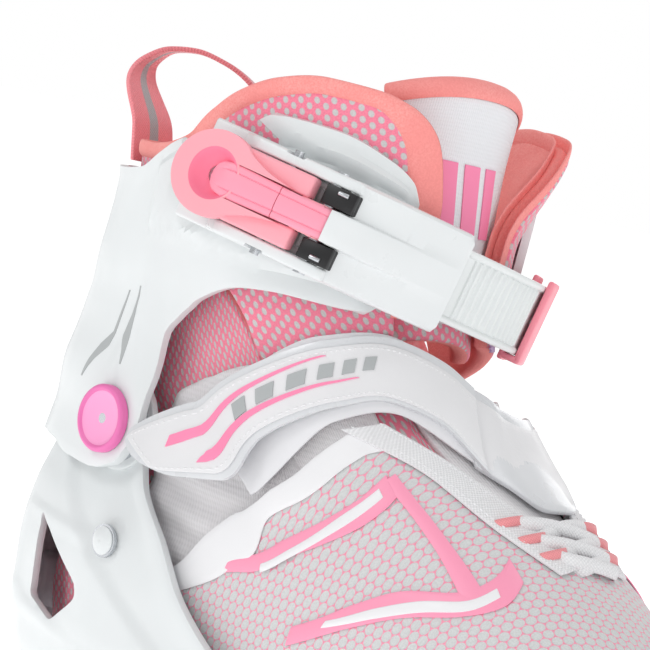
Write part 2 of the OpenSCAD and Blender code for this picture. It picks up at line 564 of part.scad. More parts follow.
module holding_pawl() color("#222222") buckle_frame() difference() {
    union() {
        for (s = [-1, 1]) translate([axle_at[0] - 4.2, -8.8, s > 0 ? 8.2 : -lever_half])
            cube([9.3, 5.2, lever_half - 8.2]);
        translate([axle_at[0] + 3.6, -5.2, -lever_half]) cube([1.5, 5.1, 2 * lever_half]);
    }
    translate(axle_at) z_rod(axle_r + 0.05, 20);
}
module pawl_spring() color("silver") buckle_frame() translate(axle_at) z_rod(2.6, 2.8, axle_r + 0.1);
ring_x = -21.5;
ring_r = 15.5;
lever_top = -11.4;
module buckle_lever() color("pink") buckle_frame() difference() {
    union() {
        translate([ring_x, -12.2, 0]) rotate([-90, 0, 0]) difference() {
            cylinder(r = ring_r, h = 3.3);
            translate([0, 0, -1]) cylinder(r = 8.8, h = 6);
        }
        for (s = [0, 1]) mirror([0, 0, s]) {
            translate([-14, lever_top, 8]) cube([26, 6.4, lever_half - 8]);
            translate([axle_at[0], axle_at[1], 5.5]) z_rod(3, 2.3);
            translate([6, lever_top, 3.2]) cube([11, 2, 4.6]);
            translate([14, lever_top, 3.2]) cube([4, 5, 4.6]);
        }
        translate([6, lever_top, -lever_half]) cube([4, 1.4, 2 * lever_half]);
    }
    translate(axle_at) z_rod(axle_r + 0.05, 20);
    translate(trigger_at) z_rod(small_pin_r + 0.02, 20);
    translate(trigger_at) z_rod(2.5, 7.9);
    translate(drive_at) z_rod(small_pin_r + 0.02, 20);
    // Slot for the release trigger
    translate([-16, -14, -6.4]) cube([21.4, 7.6, 12.8]);
    // Notch that drops over the lock pin
    translate([lock_at[0] - 2.2, lock_at[1] - 2.2, -20]) cube([4.4, 6, 40]);
}
module trigger_pin() color("silver") buckle_frame() translate(trigger_at)
    z_rod(small_pin_r, lever_half);
module release_trigger() color("hotpink") buckle_frame() difference() {
    union() {
        translate([-23, -11.6, -6]) cube([27.6, 2.4, 12]);
        translate(trigger_at) z_rod(2.2, 6);
        translate([-4.6, -9.4, -6]) cube([2, 4.2, 12]);
    }
    translate(trigger_at) z_rod(small_pin_r + 0.05, 20);
}
module trigger_spring() color("silver") buckle_frame() for (s = [-1, 1])
    translate([trigger_at[0], trigger_at[1], s * 7]) z_rod(2, 0.7, small_pin_r + 0.05);
module drive_pin() color("silver") buckle_frame() translate(drive_at)
    z_rod(small_pin_r, lever_half);
module drive_pawl() color("#222222") buckle_frame() difference() {
    union() {
        translate(drive_at) z_rod(2, 6.4);
        translate([3.2, -6.6, -6.4]) cube([5, 2, 12.8]);
        translate([3.2, -5, -6.4]) cube([1.6, 1.3, 12.8]);
    }
    translate(drive_at) z_rod(small_pin_r + 0.05, 20);
}
module drive_spring() color("silver") buckle_frame() for (s = [-1, 1])
    translate([drive_at[0], drive_at[1], s * 7.2]) z_rod(2, 0.6, small_pin_r + 0.05);

// ---- Ladder strap ----
ladder_f0 = -4;
ladder_f1 = 113;
tooth_step = 2.6;
module ladder_strap() color("white") difference() {
    union() {
        arc(strap_r + 0.4, strap_r + 2.4, -ladder_w / 2, ladder_w / 2, ladder_f0, ladder_f1);
        for (i = [0:ladder_teeth - 1]) let (f = ladder_f0 + 2 + i * tooth_step)
            arc(strap_r + 2.3, strap_r + 3.2, -ladder_w / 2 + 2.5, ladder_w / 2 - 2.5, f, f + 1.2);
    }
    strap_frame() rotate(anchor_f) translate([0, -strap_r - 10, 0]) rotate([-90, 0, 0])
        cylinder(r = 2.02, h = 20);
}
anchor_f = 106;
module strap_anchor() color("hotpink") difference() {
    union() {
        arc(strap_r + 2.6, strap_r + 4.6, -14, 14, 99, 116);
        arc(strap_r - 1.6, strap_r + 0.2, -15, 14, 99, 116);
        arc(strap_r - 1.6, strap_r + 4.6, -14, -12.3, 99, 116);
    }
    strap_frame() rotate(anchor_f) translate([0, -strap_r - 10, 0]) rotate([-90, 0, 0])
        cylinder(r = 2.02, h = 20);
}
module anchor_rivet() color("silver") strap_frame() rotate(anchor_f)
    translate([0, -strap_r, 0]) rotate([-90, 0, 0]) {
        translate([0, 0, -5.6]) cylinder(r = 3.6, h = 1);
        translate([0, 0, -5]) cylinder(r = 2, h = 7.4);
    }

// ---- Size button ----
button_x = 68;
button_l = 17;
module size_button() color("hotpink") {
    translate([button_x - button_l / 2, -50, sole_z + 1.5]) cube([button_l, 8, 4.6]);
    translate([button_x - button_l / 2, -53.5, sole_z + 1.5]) cube([button_l, 3.6, 4.6]);
}
module button_spring() color("silver") translate([button_x, 0, sole_z + 3.8]) y_rod(1.9, -42, -34.1);

base_shell();
heel_bumper();
sole_plate();
blade_holder();
blade();
blade_bolts();
holder_screws();
heel_wedge();
footbed();
foot_liner();
gusset();
tongue_lower();
loop_pad();
instep_strap();
instep_strap_flap();
pivot_bolts();
pivot_nuts();
pivot_washers();
shell_rivets();
rivet_domes();
cuff();
pivot_caps();
collar_liner();
collar_binding();
tongue_upper();
tongue_face();
tongue_top();
pull_loop();
medial_flap_tape();
buckle_base();
strap_guide();
buckle_rivets();
lever_axle();
lock_pin();
pawl_spring();
holding_pawl();
buckle_lever();
trigger_pin();
trigger_spring();
release_trigger();
drive_pin();
drive_spring();
drive_pawl();
ladder_strap();
strap_anchor();
anchor_rivet();
toe_sole();
toe_cap();
vamp();
eyestay_lateral();
eyestay_medial();
laces();
lace_loops();
size_rack();
size_button();
button_spring();
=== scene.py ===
import bisect
import math

import bmesh
import bpy
from mathutils import Matrix, Vector


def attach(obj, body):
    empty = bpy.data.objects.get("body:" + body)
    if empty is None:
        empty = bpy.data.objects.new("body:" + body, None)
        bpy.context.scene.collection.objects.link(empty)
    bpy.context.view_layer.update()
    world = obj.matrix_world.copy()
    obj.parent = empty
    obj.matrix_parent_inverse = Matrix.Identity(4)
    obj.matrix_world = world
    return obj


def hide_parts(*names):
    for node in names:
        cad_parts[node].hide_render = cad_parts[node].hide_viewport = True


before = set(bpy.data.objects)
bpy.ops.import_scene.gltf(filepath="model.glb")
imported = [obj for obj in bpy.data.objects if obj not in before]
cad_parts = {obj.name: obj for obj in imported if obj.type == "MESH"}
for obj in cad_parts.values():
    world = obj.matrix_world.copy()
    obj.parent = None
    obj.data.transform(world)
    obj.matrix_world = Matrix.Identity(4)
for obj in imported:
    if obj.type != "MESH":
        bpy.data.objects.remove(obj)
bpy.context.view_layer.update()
MM = 0.001

# ---- Camera, floor and lights ----
AZIMUTH, ELEVATION, ROLL = math.radians(45), math.radians(4), math.radians(13)
DISTANCE = 0.9
back = Vector((math.sin(AZIMUTH) * math.cos(ELEVATION), -math.cos(AZIMUTH) * math.cos(ELEVATION),
               math.sin(ELEVATION)))
level = Vector((math.cos(AZIMUTH), math.sin(AZIMUTH), 0))
upright = back.cross(level)
right = level * math.cos(ROLL) + upright * math.sin(ROLL)
up = upright * math.cos(ROLL) - level * math.sin(ROLL)
cam_data = bpy.data.cameras.new("Camera")
cam_data.lens = 155.8
cam_data.sensor_width = 36
cam_data.clip_end = 50
camera = bpy.data.objects.new("Camera", cam_data)
bpy.context.scene.collection.objects.link(camera)
PIVOT = Vector((-0.045, -0.056, 0.150))
eye = PIVOT + back * DISTANCE + right * 0.071 + up * 0.0298
camera.matrix_world = Matrix((
    (right.x, up.x, back.x, eye.x), (right.y, up.y, back.y, eye.y),
    (right.z, up.z, back.z, eye.z), (0, 0, 0, 1)))
bpy.context.scene.camera = camera
bpy.context.scene.view_settings.view_transform = "Standard"


def area_light(name, place, target, size, power, tint=(1, 1, 1)):
    data = bpy.data.lights.new(name, "AREA")
    data.shape = "DISK"
    data.size = size
    data.energy = power
    data.color = tint
    lamp = bpy.data.objects.new(name, data)
    bpy.context.scene.collection.objects.link(lamp)
    lamp.location = place
    lamp.rotation_euler = (Vector(target) - Vector(place)).to_track_quat("-Z", "Y").to_euler()


CENTRE = (0, 0, 0.18)
area_light("key", (-0.6, -1.5, 1.4), CENTRE, 0.8, 7.2)
area_light("fill", (1.7, -0.5, 0.7), CENTRE, 1.2, 4.4)
area_light("top", (0.1, 0.3, 1.9), CENTRE, 1.0, 4.4)
area_light("rim", (-0.6, 1.5, 0.9), CENTRE, 0.8, 3.5)
world = bpy.data.worlds.new("studio")
world.use_nodes = True
world.node_tree.nodes["Background"].inputs["Color"].default_value = (1, 1, 1, 1)
world.node_tree.nodes["Background"].inputs["Strength"].default_value = 0.54
backdrop = world.node_tree.nodes.new("ShaderNodeBackground")
backdrop.inputs["Color"].default_value = (1, 1, 1, 1)
backdrop.inputs["Strength"].default_value = 1.0
choose = world.node_tree.nodes.new("ShaderNodeMixShader")
ray = world.node_tree.nodes.new("ShaderNodeLightPath")
world.node_tree.links.new(ray.outputs["Is Camera Ray"], choose.inputs[0])
world.node_tree.links.new(world.node_tree.nodes["Background"].outputs[0], choose.inputs[1])
world.node_tree.links.new(backdrop.outputs[0], choose.inputs[2])
world.node_tree.links.new(choose.outputs[0], world.node_tree.nodes["World Output"].inputs[0])
bpy.context.scene.world = world


# ---- Materials ----
def rgb(r, g, b):
    return tuple((c / 255 / 12.92) if c <= 10 else ((c / 255 + 0.055) / 1.055) ** 2.4
                 for c in (r, g, b)) + (1,)


def shade(colour, k):
    return tuple(min(c * k, 1) for c in colour[:3]) + (1,)


class Nodes:
    """A material's tree with short words for the nodes that the finishes share."""

    def __init__(self, name, rough, **sockets):
        self.mat = bpy.data.materials.new(name)
        self.mat.use_nodes = True
        self.tree = self.mat.node_tree
        self.bsdf = self.tree.nodes["Principled BSDF"]
        self.bsdf.inputs["Roughness"].default_value = rough
        for key, value in sockets.items():
            self.bsdf.inputs[key.replace("_", " ")].default_value = value
        self.coords = self.tree.nodes.new("ShaderNodeTexCoord")

    def add(self, kind, values=(), **props):
        node = self.tree.nodes.new("ShaderNode" + kind)
        for key, value in props.items():
            setattr(node, key, value)
        for socket, value in enumerate(values):
            if value is None:
                continue
            if isinstance(value, bpy.types.NodeSocket):
                self.tree.links.new(value, node.inputs[socket])
            else:
                node.inputs[socket].default_value = value
        return node

    def math(self, op, *values):
        return self.add("Math", values, operation=op).outputs[0]

    def vmath(self, op, *values):
        return self.add("VectorMath", values, operation=op)

    def at(self, uv, scale=(1, 1, 1), turn=0.0):
        vector = self.coords.outputs["UV" if uv else "Object"]
        return self.add("Mapping", (vector, None, (0, 0, math.radians(turn)), scale)).outputs[0]

    def noise(self, scale, detail=2.0, uv=False, stretch=(1, 1, 1), distortion=0.0):
        node = self.add("TexNoise")
        self.tree.links.new(self.at(uv, stretch), node.inputs["Vector"])
        node.inputs["Scale"].default_value = scale
        node.inputs["Detail"].default_value = detail
        node.inputs["Distortion"].default_value = distortion
        return node.outputs[0]

    def span(self, value, a, b, low=0.0, high=1.0):
        node = self.add("MapRange", (value, a, b, low, high), interpolation_type="SMOOTHSTEP")
        return node.outputs[0]

    def mix(self, factor, a, b):
        node = self.add("Mix", data_type="RGBA")
        for socket, value in ((0, factor), (6, a), (7, b)):
            if isinstance(value, bpy.types.NodeSocket):
                self.tree.links.new(value, node.inputs[socket])
            else:
                node.inputs[socket].default_value = value
        return node.outputs[2]

    def hexagons(self, pitch, turn=0.0, squeeze=1.0):
        """Distance to the nearest centre of a hexagonal lattice, in pitches, on the UV map."""
        root = math.sqrt(3)
        place = self.at(True, (1 / pitch, squeeze / (pitch * root), 1), turn)
        found = []
        for shift in (0.0, 0.5):
            cell = self.vmath("FRACTION", self.vmath("ADD", place, (shift, shift, 0)).outputs[0])
            cell = self.vmath("SUBTRACT", cell.outputs[0], (0.5, 0.5, 0))
            cell = self.vmath("MULTIPLY", cell.outputs[0], (1, root, 0))
            found.append(self.vmath("LENGTH", cell.outputs[0]).outputs["Value"])
        return self.math("MINIMUM", found[0], found[1])

    def bump(self, *layers):
        """Layers are (height, strength, distance in metres), chained one on another."""
        normal = None
        for height, strength, distance in layers:
            node = self.add("Bump")
            node.inputs["Strength"].default_value = strength
            node.inputs["Distance"].default_value = distance
            self.tree.links.new(height, node.inputs["Height"])
            if normal is not None:
                self.tree.links.new(normal, node.inputs["Normal"])
            normal = node.outputs[0]
        self.tree.links.new(normal, self.bsdf.inputs["Normal"])

    def colour(self, value):
        self.tree.links.new(value, self.bsdf.inputs["Base Color"])

    def roughness(self, value):
        self.tree.links.new(value, self.bsdf.inputs["Roughness"])


def moulded(name, colour, rough=0.38, grain=0.05, tint=0.97, coat=0.0, **sockets):
    """Moulded plastic: faint cloudiness, fine grain, and roughness that varies."""
    n = Nodes(name, rough, Coat_Weight=coat, **sockets)
    cloud = n.noise(28, 3)
    n.colour(n.mix(n.span(cloud, 0.35, 0.65), shade(colour, tint), colour))
    n.roughness(n.span(n.noise(90, 4), 0.3, 0.7, rough - 0.05, rough + 0.07))
    n.bump((n.noise(2600, 2), grain, 0.00006), (n.noise(45, 2), 0.05, 0.0004))
    return n.mat


def metal(name, colour, rough=0.28, brush=(1, 1, 30)):
    n = Nodes(name, rough, Metallic=1.0)
    lines = n.noise(420, 3, stretch=brush)
    n.colour(n.mix(n.span(n.noise(60, 4), 0.3, 0.7), shade(colour, 0.86), colour))
    n.roughness(n.span(lines, 0.3, 0.7, rough - 0.06, rough + 0.12))
    n.bump((lines, 0.12, 0.00004))
    return n.mat


def net(name, ground, dots, pitch, inner, outer, turn=0.0, depth=0.00022, squeeze=1.0):
    """Knitted spacer fabric: a coloured net with light holes on a hexagonal lattice."""
    n = Nodes(name, 0.78, Sheen_Weight=0.25, Sheen_Roughness=0.5)
    distance = n.hexagons(pitch, turn, squeeze)
    hole = n.span(distance, inner, outer, 1.0, 0.0)
    thread = n.noise(1700, 3, uv=True)
    base = n.mix(n.span(n.noise(30, 2), 0.3, 0.7), shade(ground, 0.93), shade(ground, 1.03))
    base = n.mix(n.span(thread, 0.35, 0.7), shade(ground, 0.86), base)
    n.colour(n.mix(hole, base, n.mix(n.span(thread, 0.3, 0.7), shade(dots, 0.88), dots)))
    n.bump((n.span(distance, inner * 0.7, outer * 1.1, 0.0, 1.0), 0.7, depth),
           (thread, 0.35, 0.00008))
    return n.mat


def fleece(name, colour, pale, scale=900):
    """Short brushed pile of the linings and edge bindings."""
    n = Nodes(name, 0.95, Sheen_Weight=0.4, Sheen_Roughness=0.4, Sheen_Tint=pale)
    soft = n.noise(35, 3)
    pile = n.noise(scale, 5)
    n.colour(n.mix(n.span(pile, 0.3, 0.75), shade(colour, 0.94),
                   n.mix(n.span(soft, 0.3, 0.7), colour, pale)))
    n.bump((pile, 0.55, 0.0004), (n.noise(160, 2), 0.3, 0.0006))
    return n.mat


def woven(name, colour, warp=0.0007, rough=0.85, contrast=0.85, depth=0.00016):
    """Plain weave on the UV map: two crossed sets of rounded threads."""
    n = Nodes(name, rough, Sheen_Weight=0.3)
    place = n.at(True, (1 / warp, 1 / warp, 1))
    parts = n.add("SeparateXYZ", (place,))
    across = n.math("SINE", n.math("MULTIPLY", parts.outputs[0], math.tau))
    along = n.math("SINE", n.math("MULTIPLY", parts.outputs[1], math.tau))
    weave = n.span(n.math("MULTIPLY", across, along), -0.8, 0.8)
    fuzz = n.noise(1500, 3)
    n.colour(n.mix(weave, shade(colour, contrast), n.mix(n.span(fuzz, 0.3, 0.7), colour,
                                                           shade(colour, 1.04))))
    n.bump((weave, 0.6, depth), (fuzz, 0.2, 0.0001))
    return n.mat


def ribbed_knit(name, colour, pitch=0.0011, contrast=0.9):
    """Stretch knit with fine upright wales."""
    n = Nodes(name, 0.9, Sheen_Weight=0.35)
    place = n.at(True, (1 / pitch, 1 / (pitch * 1.6), 1))
    parts = n.add("SeparateXYZ", (place,))
    wale = n.math("ABSOLUTE", n.math("SINE", n.math("MULTIPLY", parts.outputs[0], math.pi)))
    stitch = n.math("SINE", n.math("MULTIPLY", parts.outputs[1], math.tau))
    height = n.math("ADD", wale, n.math("MULTIPLY", stitch, 0.3))
    n.colour(n.mix(n.span(height, 0.0, 1.0), shade(colour, contrast), colour))
    n.bump((height, 0.5, 0.0002), (n.noise(1400, 3), 0.25, 0.00012))
    return n.mat


def leather(name, colour, rough=0.5, scale=900):
    """Smooth coated synthetic leather with a pebble grain."""
    n = Nodes(name, rough)
    cells = n.add("TexVoronoi", feature="SMOOTH_F1")
    n.tree.links.new(n.at(False), cells.inputs["Vector"])
    cells.inputs["Scale"].default_value = scale
    n.colour(n.mix(n.span(n.noise(40, 3), 0.3, 0.7), shade(colour, 0.965), colour))
    n.roughness(n.span(n.noise(120, 3), 0.3, 0.7, rough - 0.05, rough + 0.08))
    n.bump((cells.outputs["Distance"], 0.25, 0.00012), (n.noise(70, 3), 0.15, 0.0005))
    return n.mat


WHITE = rgb(228, 232, 233)
GREY = rgb(176, 180, 181)
BLACK = rgb(24, 24, 26)

M = {
    "shell": moulded("shell plastic", WHITE, 0.36, coat=0.12),
    "cuff": moulded("cuff plastic", rgb(229, 233, 234), 0.36, coat=0.12),
    "rail": moulded("buckle plastic", rgb(231, 235, 236), 0.32, coat=0.15),
    "cap": moulded("cap plastic", rgb(255, 168, 214), 0.42, tint=0.99),
    "cap_rim": moulded("cap rim plastic", rgb(240, 120, 185), 0.4),
    "lever": moulded("lever plastic", rgb(255, 172, 184), 0.42, tint=0.985),
    # The dish is the lever's own plastic; its darker pink is painted shade for the hollow
    "dish": moulded("lever dish plastic with painted shade", rgb(255, 130, 160), 0.45, tint=0.98),
    "bar": moulded("trigger plastic", rgb(255, 162, 184), 0.42, tint=0.985),
    "anchor": moulded("anchor plastic", rgb(255, 152, 168), 0.42),
    "black": moulded("pawl plastic", BLACK, 0.4, grain=0.1),
    "ladder": moulded("ladder plastic", rgb(232, 236, 236), 0.42),
    "steel": metal("steel", rgb(205, 208, 212)),
    "blade": metal("blade steel", rgb(198, 202, 208), 0.2, (1, 1, 60)),
    "net": net("collar net", rgb(255, 138, 164), rgb(208, 206, 206), 0.0033, 0.25, 0.35, 12),
    "vamp_net": net("vamp net", rgb(255, 158, 184), rgb(216, 218, 218), 0.0036, 0.44, 0.5, 0),
    "fleece": fleece("coral fleece", rgb(255, 154, 150), rgb(255, 176, 170), 1600),
    "lining": fleece("pink lining", rgb(255, 168, 176), rgb(255, 200, 200)),
    "knit": ribbed_knit("white knit", rgb(238, 236, 238)),
    "lycra": ribbed_knit("tongue face cloth", rgb(238, 240, 244), 0.0008, 0.95),
    "loop": woven("loop webbing", rgb(255, 150, 158), 0.0011),
    "loop_grey": woven("loop stripe", rgb(178, 180, 182), 0.0011),
    "tape": woven("lilac tape", rgb(206, 178, 222), 0.0009),
    "stay": woven("lace stay webbing", rgb(240, 240, 242), 0.0012, depth=0.00025),
    "lace": woven("lace braid", rgb(244, 244, 246), 0.0013, contrast=0.9, depth=0.0003),
    "lace_loop": woven("lace loop tape", rgb(255, 160, 165), 0.0009),
    "strap": leather("strap synthetic", rgb(232, 232, 234), 0.45),
    "strap_edge": moulded("clear strap edge", rgb(222, 224, 227), 0.3, coat=0.25),
    "pad": leather("strap pad", rgb(232, 232, 235), 0.6),
    "film": moulded("pink film", rgb(255, 160, 190), 0.42, tint=0.99),
    "film_white": moulded("white film", rgb(240, 240, 242), 0.42, tint=0.98),
    "print_pink": moulded("pink print", rgb(255, 142, 182), 0.5),
    "print_grey": moulded("grey print", GREY, 0.5),
    "thread": moulded("white thread", rgb(240, 240, 242), 0.8, grain=0.3),
    "sole": moulded("sole plastic", rgb(232, 233, 236), 0.5, grain=0.3),
    "rack": moulded("rack plastic", rgb(70, 72, 76), 0.5),
    "floor": moulded("studio floor", rgb(240, 240, 240), 0.8, grain=0.0, tint=0.995,
                     Emission_Color=(1, 1, 1, 1), Emission_Strength=0.62),
}


# ---- Curves through given values, without overshoot ----
def curve(rows):
    xs = [r[0] for r in rows]
    ys = [r[1] for r in rows]
    if xs[0] > xs[-1]:
        xs, ys = xs[::-1], ys[::-1]
    n = len(xs)
    d = [(ys[i + 1] - ys[i]) / (xs[i + 1] - xs[i]) for i in range(n - 1)]
    m = [d[0]] + [0 if d[i - 1] * d[i] <= 0 else 2 * d[i - 1] * d[i] / (d[i - 1] + d[i])
                  for i in range(1, n - 1)] + [d[-1]]

    def at(x):
        x = min(max(x, xs[0]), xs[-1])
        i = min(max(bisect.bisect_right(xs, x) - 1, 0), n - 2)
        h = xs[i + 1] - xs[i]
        t = (x - xs[i]) / h
        return ((2 * t ** 3 - 3 * t * t + 1) * ys[i] + (t ** 3 - 2 * t * t + t) * h * m[i]
                + (3 * t * t - 2 * t ** 3) * ys[i + 1] + (t ** 3 - t * t) * h * m[i + 1])
    return at


def lerp(a, b, t):
    return a + (b - a) * t


def smooth(x, a=0.0, b=1.0):
    t = min(max((x - a) / (b - a), 0.0), 1.0)
    return t * t * (3 - 2 * t)


# ---- The boot's own surface: rounded sections at set heights, in millimetres ----
# [height, heel x, front x, half width, heel squareness, toe squareness, widening to the toe]
SECTIONS = [
    [300, -92, 50, 55, 2.2, 2.2, 0], [285, -92, 48, 54, 2.2, 2.2, 0],
    [250, -94, 44, 52, 2.2, 2.2, 0], [220, -95, 44, 50, 2.2, 2.2, 0],
    [200, -97, 49, 49, 2.3, 2.2, 0], [188, -98, 56, 48, 2.4, 2.2, 0],
    [174, -99, 70, 47, 2.5, 2.2, 0], [160, -99, 92, 46.5, 2.7, 2.2, 0.02],
    [150, -99, 112, 46.5, 2.7, 2.2, 0.04], [140, -100, 131, 47, 2.7, 2.2, 0.05],
    [128, -102, 149, 48.5, 2.7, 2.25, 0.06], [115, -104, 164, 50, 2.7, 2.3, 0.06],
    [100, -105, 175, 51, 2.7, 2.3, 0.07], [85, -104, 182, 51, 2.7, 2.3, 0.08],
    [70, -101, 181, 49, 2.7, 2.3, 0.08], [54, -96, 174, 45, 2.7, 2.3, 0.08]]
HEEL_X, FRONT_X, HALF_W, HEEL_N, TOE_N, WIDEN = (
    curve([(s[0], s[c]) for s in SECTIONS]) for c in range(1, 7))


def spow(x, p):
    return math.copysign(abs(x) ** p, x)


def skin(a, z, off=0.0):
    """Point on the boot at angle a from the toe (+ is the inner side), in millimetres."""
    heel, front = HEEL_X(z), FRONT_X(z)
    c, s = math.cos(math.radians(a)), math.sin(math.radians(a))
    n = lerp(TOE_N(z), HEEL_N(z), smooth(-c, -0.15, 0.15))
    c, s = spow(c, 2 / n), spow(s, 2 / n)
    return Vector(((front + heel) / 2 + ((front - heel) / 2 + off) * c,
                   (HALF_W(z) + off) * s * (1 + WIDEN(z) * c), z))


def lean_out(z):
    """The collar stands out towards its rim and draws in towards the flex gap."""
    return max(z - 235, 0) * 0.09 - 2.2 * min(max((222 - z) / 20, 0), 1)


def column_list(*parts):
    """Angles from (first, last, step) runs."""
    found = []
    for first, last, step in parts:
        count = max(round((last - first) / step), 1)
        found += [lerp(first, last, i / count) for i in range(count)]
    return found + [parts[-1][1]]


# ---- Making and finishing pieces ----
def alone(*chosen):
    bpy.ops.object.select_all(action="DESELECT")
    for one in chosen:
        one.select_set(True)
    if chosen:
        bpy.context.view_layer.objects.active = chosen[0]


def made(name):
    piece = bpy.context.object
    piece.name = name
    piece.data.name = name
    return piece


def edit(piece, *steps):
    """Runs edit-mode operators on the whole piece."""
    alone(piece)
    bpy.ops.object.mode_set(mode="EDIT")
    bpy.ops.mesh.select_all(action="SELECT")
    for step in steps:
        step()
    bpy.ops.object.mode_set(mode="OBJECT")


def weld():
    bpy.ops.mesh.remove_doubles(threshold=0.00001)


def outwards():
    bpy.ops.mesh.normals_make_consistent(inside=False)


def apply_modifier(piece, kind, **props):
    alone(piece)
    mod = piece.modifiers.new(kind.lower(), kind)
    for key, value in props.items():
        setattr(mod, key, value)
    bpy.ops.object.modifier_apply(modifier=mod.name)
    return piece


def wall(piece, thick, offset=-1.0, rim=0):
    return apply_modifier(piece, "SOLIDIFY", thickness=thick * MM, offset=offset,
                          use_even_offset=True, use_quality_normals=True,
                          material_offset_rim=rim)


def rounded(piece, width=0.5, segments=2, angle=40):
    return apply_modifier(piece, "BEVEL", width=width * MM, segments=segments,
                          limit_method="ANGLE", angle_limit=math.radians(angle))


def finer(piece, levels=1):
    return apply_modifier(piece, "SUBSURF", levels=levels, render_levels=levels)


def grid(name, cols, rows, place, closed=False, fan=None, upright=False):
    """A grid wrapped on place(u, v), which gives millimetres; its UV map is in metres."""
    alone()
    bpy.ops.mesh.primitive_grid_add(x_subdivisions=cols, y_subdivisions=rows, size=1)
    piece = made(name)
    mesh = piece.data
    places = [(round((v.co.x + 0.5) * cols), round((v.co.y + 0.5) * rows)) for v in mesh.vertices]
    points = {}
    for vertex, (i, j) in zip(mesh.vertices, places):
        points[i, j] = Vector(place(i / cols, j / rows)) * MM
        vertex.co = points[i, j]
    mid_j, mid_i = rows // 2, cols // 2
    along, high = [0.0], [0.0]
    for i in range(cols):
        step = points[i + 1, mid_j] - points[i, mid_j]
        along.append(along[-1] + (step.xy.length if upright else step.length))
    for j in range(rows):
        high.append(high[-1] + (points[mid_i, j + 1] - points[mid_i, j]).length)
    layer = mesh.uv_layers[0] if mesh.uv_layers else mesh.uv_layers.new(name="UVMap")
    for loop in mesh.loops:
        i, j = places[loop.vertex_index]
        if fan:
            layer.data[loop.index].uv = fan(points[i, j] / MM)
        else:
            layer.data[loop.index].uv = (along[i], points[i, j].z if upright else high[j])
    if closed:
        edit(piece, weld)
    return piece


def prism(name, outline, low, high):
    """A flat outline (x, y) drawn up from one height to another, in millimetres."""
    alone()
    bpy.ops.mesh.primitive_circle_add(vertices=len(outline), fill_type="NGON")
    piece = made(name)
    for vertex, (x, y) in zip(piece.data.vertices, outline):
        vertex.co = Vector((x, y, low)) * MM
    edit(piece, lambda: bpy.ops.mesh.extrude_region_move(
        TRANSFORM_OT_translate={"value": (0, 0, (high - low) * MM)}))
    edit(piece, outwards)
    return piece


def block(name, low, high, round_by=0.0, segments=2):
    alone()
    bpy.ops.mesh.primitive_cube_add(size=1)
    piece = made(name)
    for vertex in piece.data.vertices:
        vertex.co = Vector([lerp(a, b, c + 0.5) for a, b, c in zip(low, high, vertex.co)]) * MM
    if round_by:
        rounded(piece, round_by, segments)
    return piece


def drum(name, centre, axis, radius, half, round_by=0.0, sides=48, top=None):
    """A cylinder about centre along an axis, in millimetres; top is the radius at its far end."""
    alone()
    bpy.ops.mesh.primitive_cone_add(vertices=sides, radius1=radius * MM,
                                    radius2=(top if top is not None else radius) * MM,
                                    depth=2 * half * MM)
    piece = made(name)
    turn = Vector((0, 0, 1)).rotation_difference(Vector(axis).normalized()).to_matrix().to_4x4()
    piece.data.transform(Matrix.Translation(Vector(centre) * MM) @ turn)
    if round_by:
        rounded(piece, round_by, 3)
    return piece


def lathe(name, profile, centre, axis, steps=64):
    """A profile (radius, height) spun about an axis; the first and last radius may be 0."""
    alone()
    bpy.ops.mesh.primitive_grid_add(x_subdivisions=steps, y_subdivisions=len(profile) - 1, size=1)
    piece = made(name)
    last = len(profile) - 1
    for vertex in piece.data.vertices:
        turn, row = (vertex.co.x + 0.5) * math.tau, round((vertex.co.y + 0.5) * last)
        radius, height = profile[row]
        vertex.co = Vector((radius * math.cos(turn), radius * math.sin(turn), height)) * MM
    edit(piece, weld, outwards)
    turn = Vector((0, 0, 1)).rotation_difference(Vector(axis).normalized()).to_matrix().to_4x4()
    piece.data.transform(Matrix.Translation(Vector(centre) * MM) @ turn)
    return piece


def cut(piece, *tools, operation="DIFFERENCE"):
    for tool in tools:
        alone(piece)
        mod = piece.modifiers.new("cut", "BOOLEAN")
        mod.operation = operation
        mod.object = tool
        mod.solver = "EXACT"
        bpy.ops.object.modifier_apply(modifier=mod.name)
        bpy.data.objects.remove(tool)
    return piece


def joined(name, *parts):
    alone(*parts)
    if len(parts) > 1:
        bpy.ops.object.join()
    return made(name)


def placed(piece, matrix):
    """Moves a piece made in millimetres of another frame to its place."""
    piece.data.transform(matrix)
    return piece


def copied(piece, name, matrix):
    twin = piece.copy()
    twin.data = piece.data.copy()
    twin.name = name
    twin.data.name = name
    bpy.context.scene.collection.objects.link(twin)
    twin.data.transform(matrix)
    if matrix.determinant() < 0:
        twin.data.flip_normals()
    return twin


MIRROR = Matrix.Diagonal((1, -1, 1, 1))


def dress(piece, finish, body, slot, *nodes, angle=38):
    """Smooths a piece, gives it its finish, and lets it ride on its body; its slot is not used."""
    alone(piece)
    if angle:
        bpy.ops.object.shade_smooth_by_angle(angle=math.radians(angle))
    else:
        bpy.ops.object.shade_smooth()
    finishes = finish if isinstance(finish, (list, tuple)) else [finish]
    marks = [min(face.material_index, len(finishes) - 1) for face in piece.data.polygons]
    piece.data.materials.clear()
    for one in finishes:
        piece.data.materials.append(M[one])
    piece.data.polygons.foreach_set("material_index", marks)
    if body:
        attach(piece, body)
    if nodes:
        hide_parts(*nodes)
    return piece


# ---- Floor ----
alone()
bpy.ops.mesh.primitive_plane_add(size=30)
floor = made("floor")
floor.data.materials.append(M["floor"])

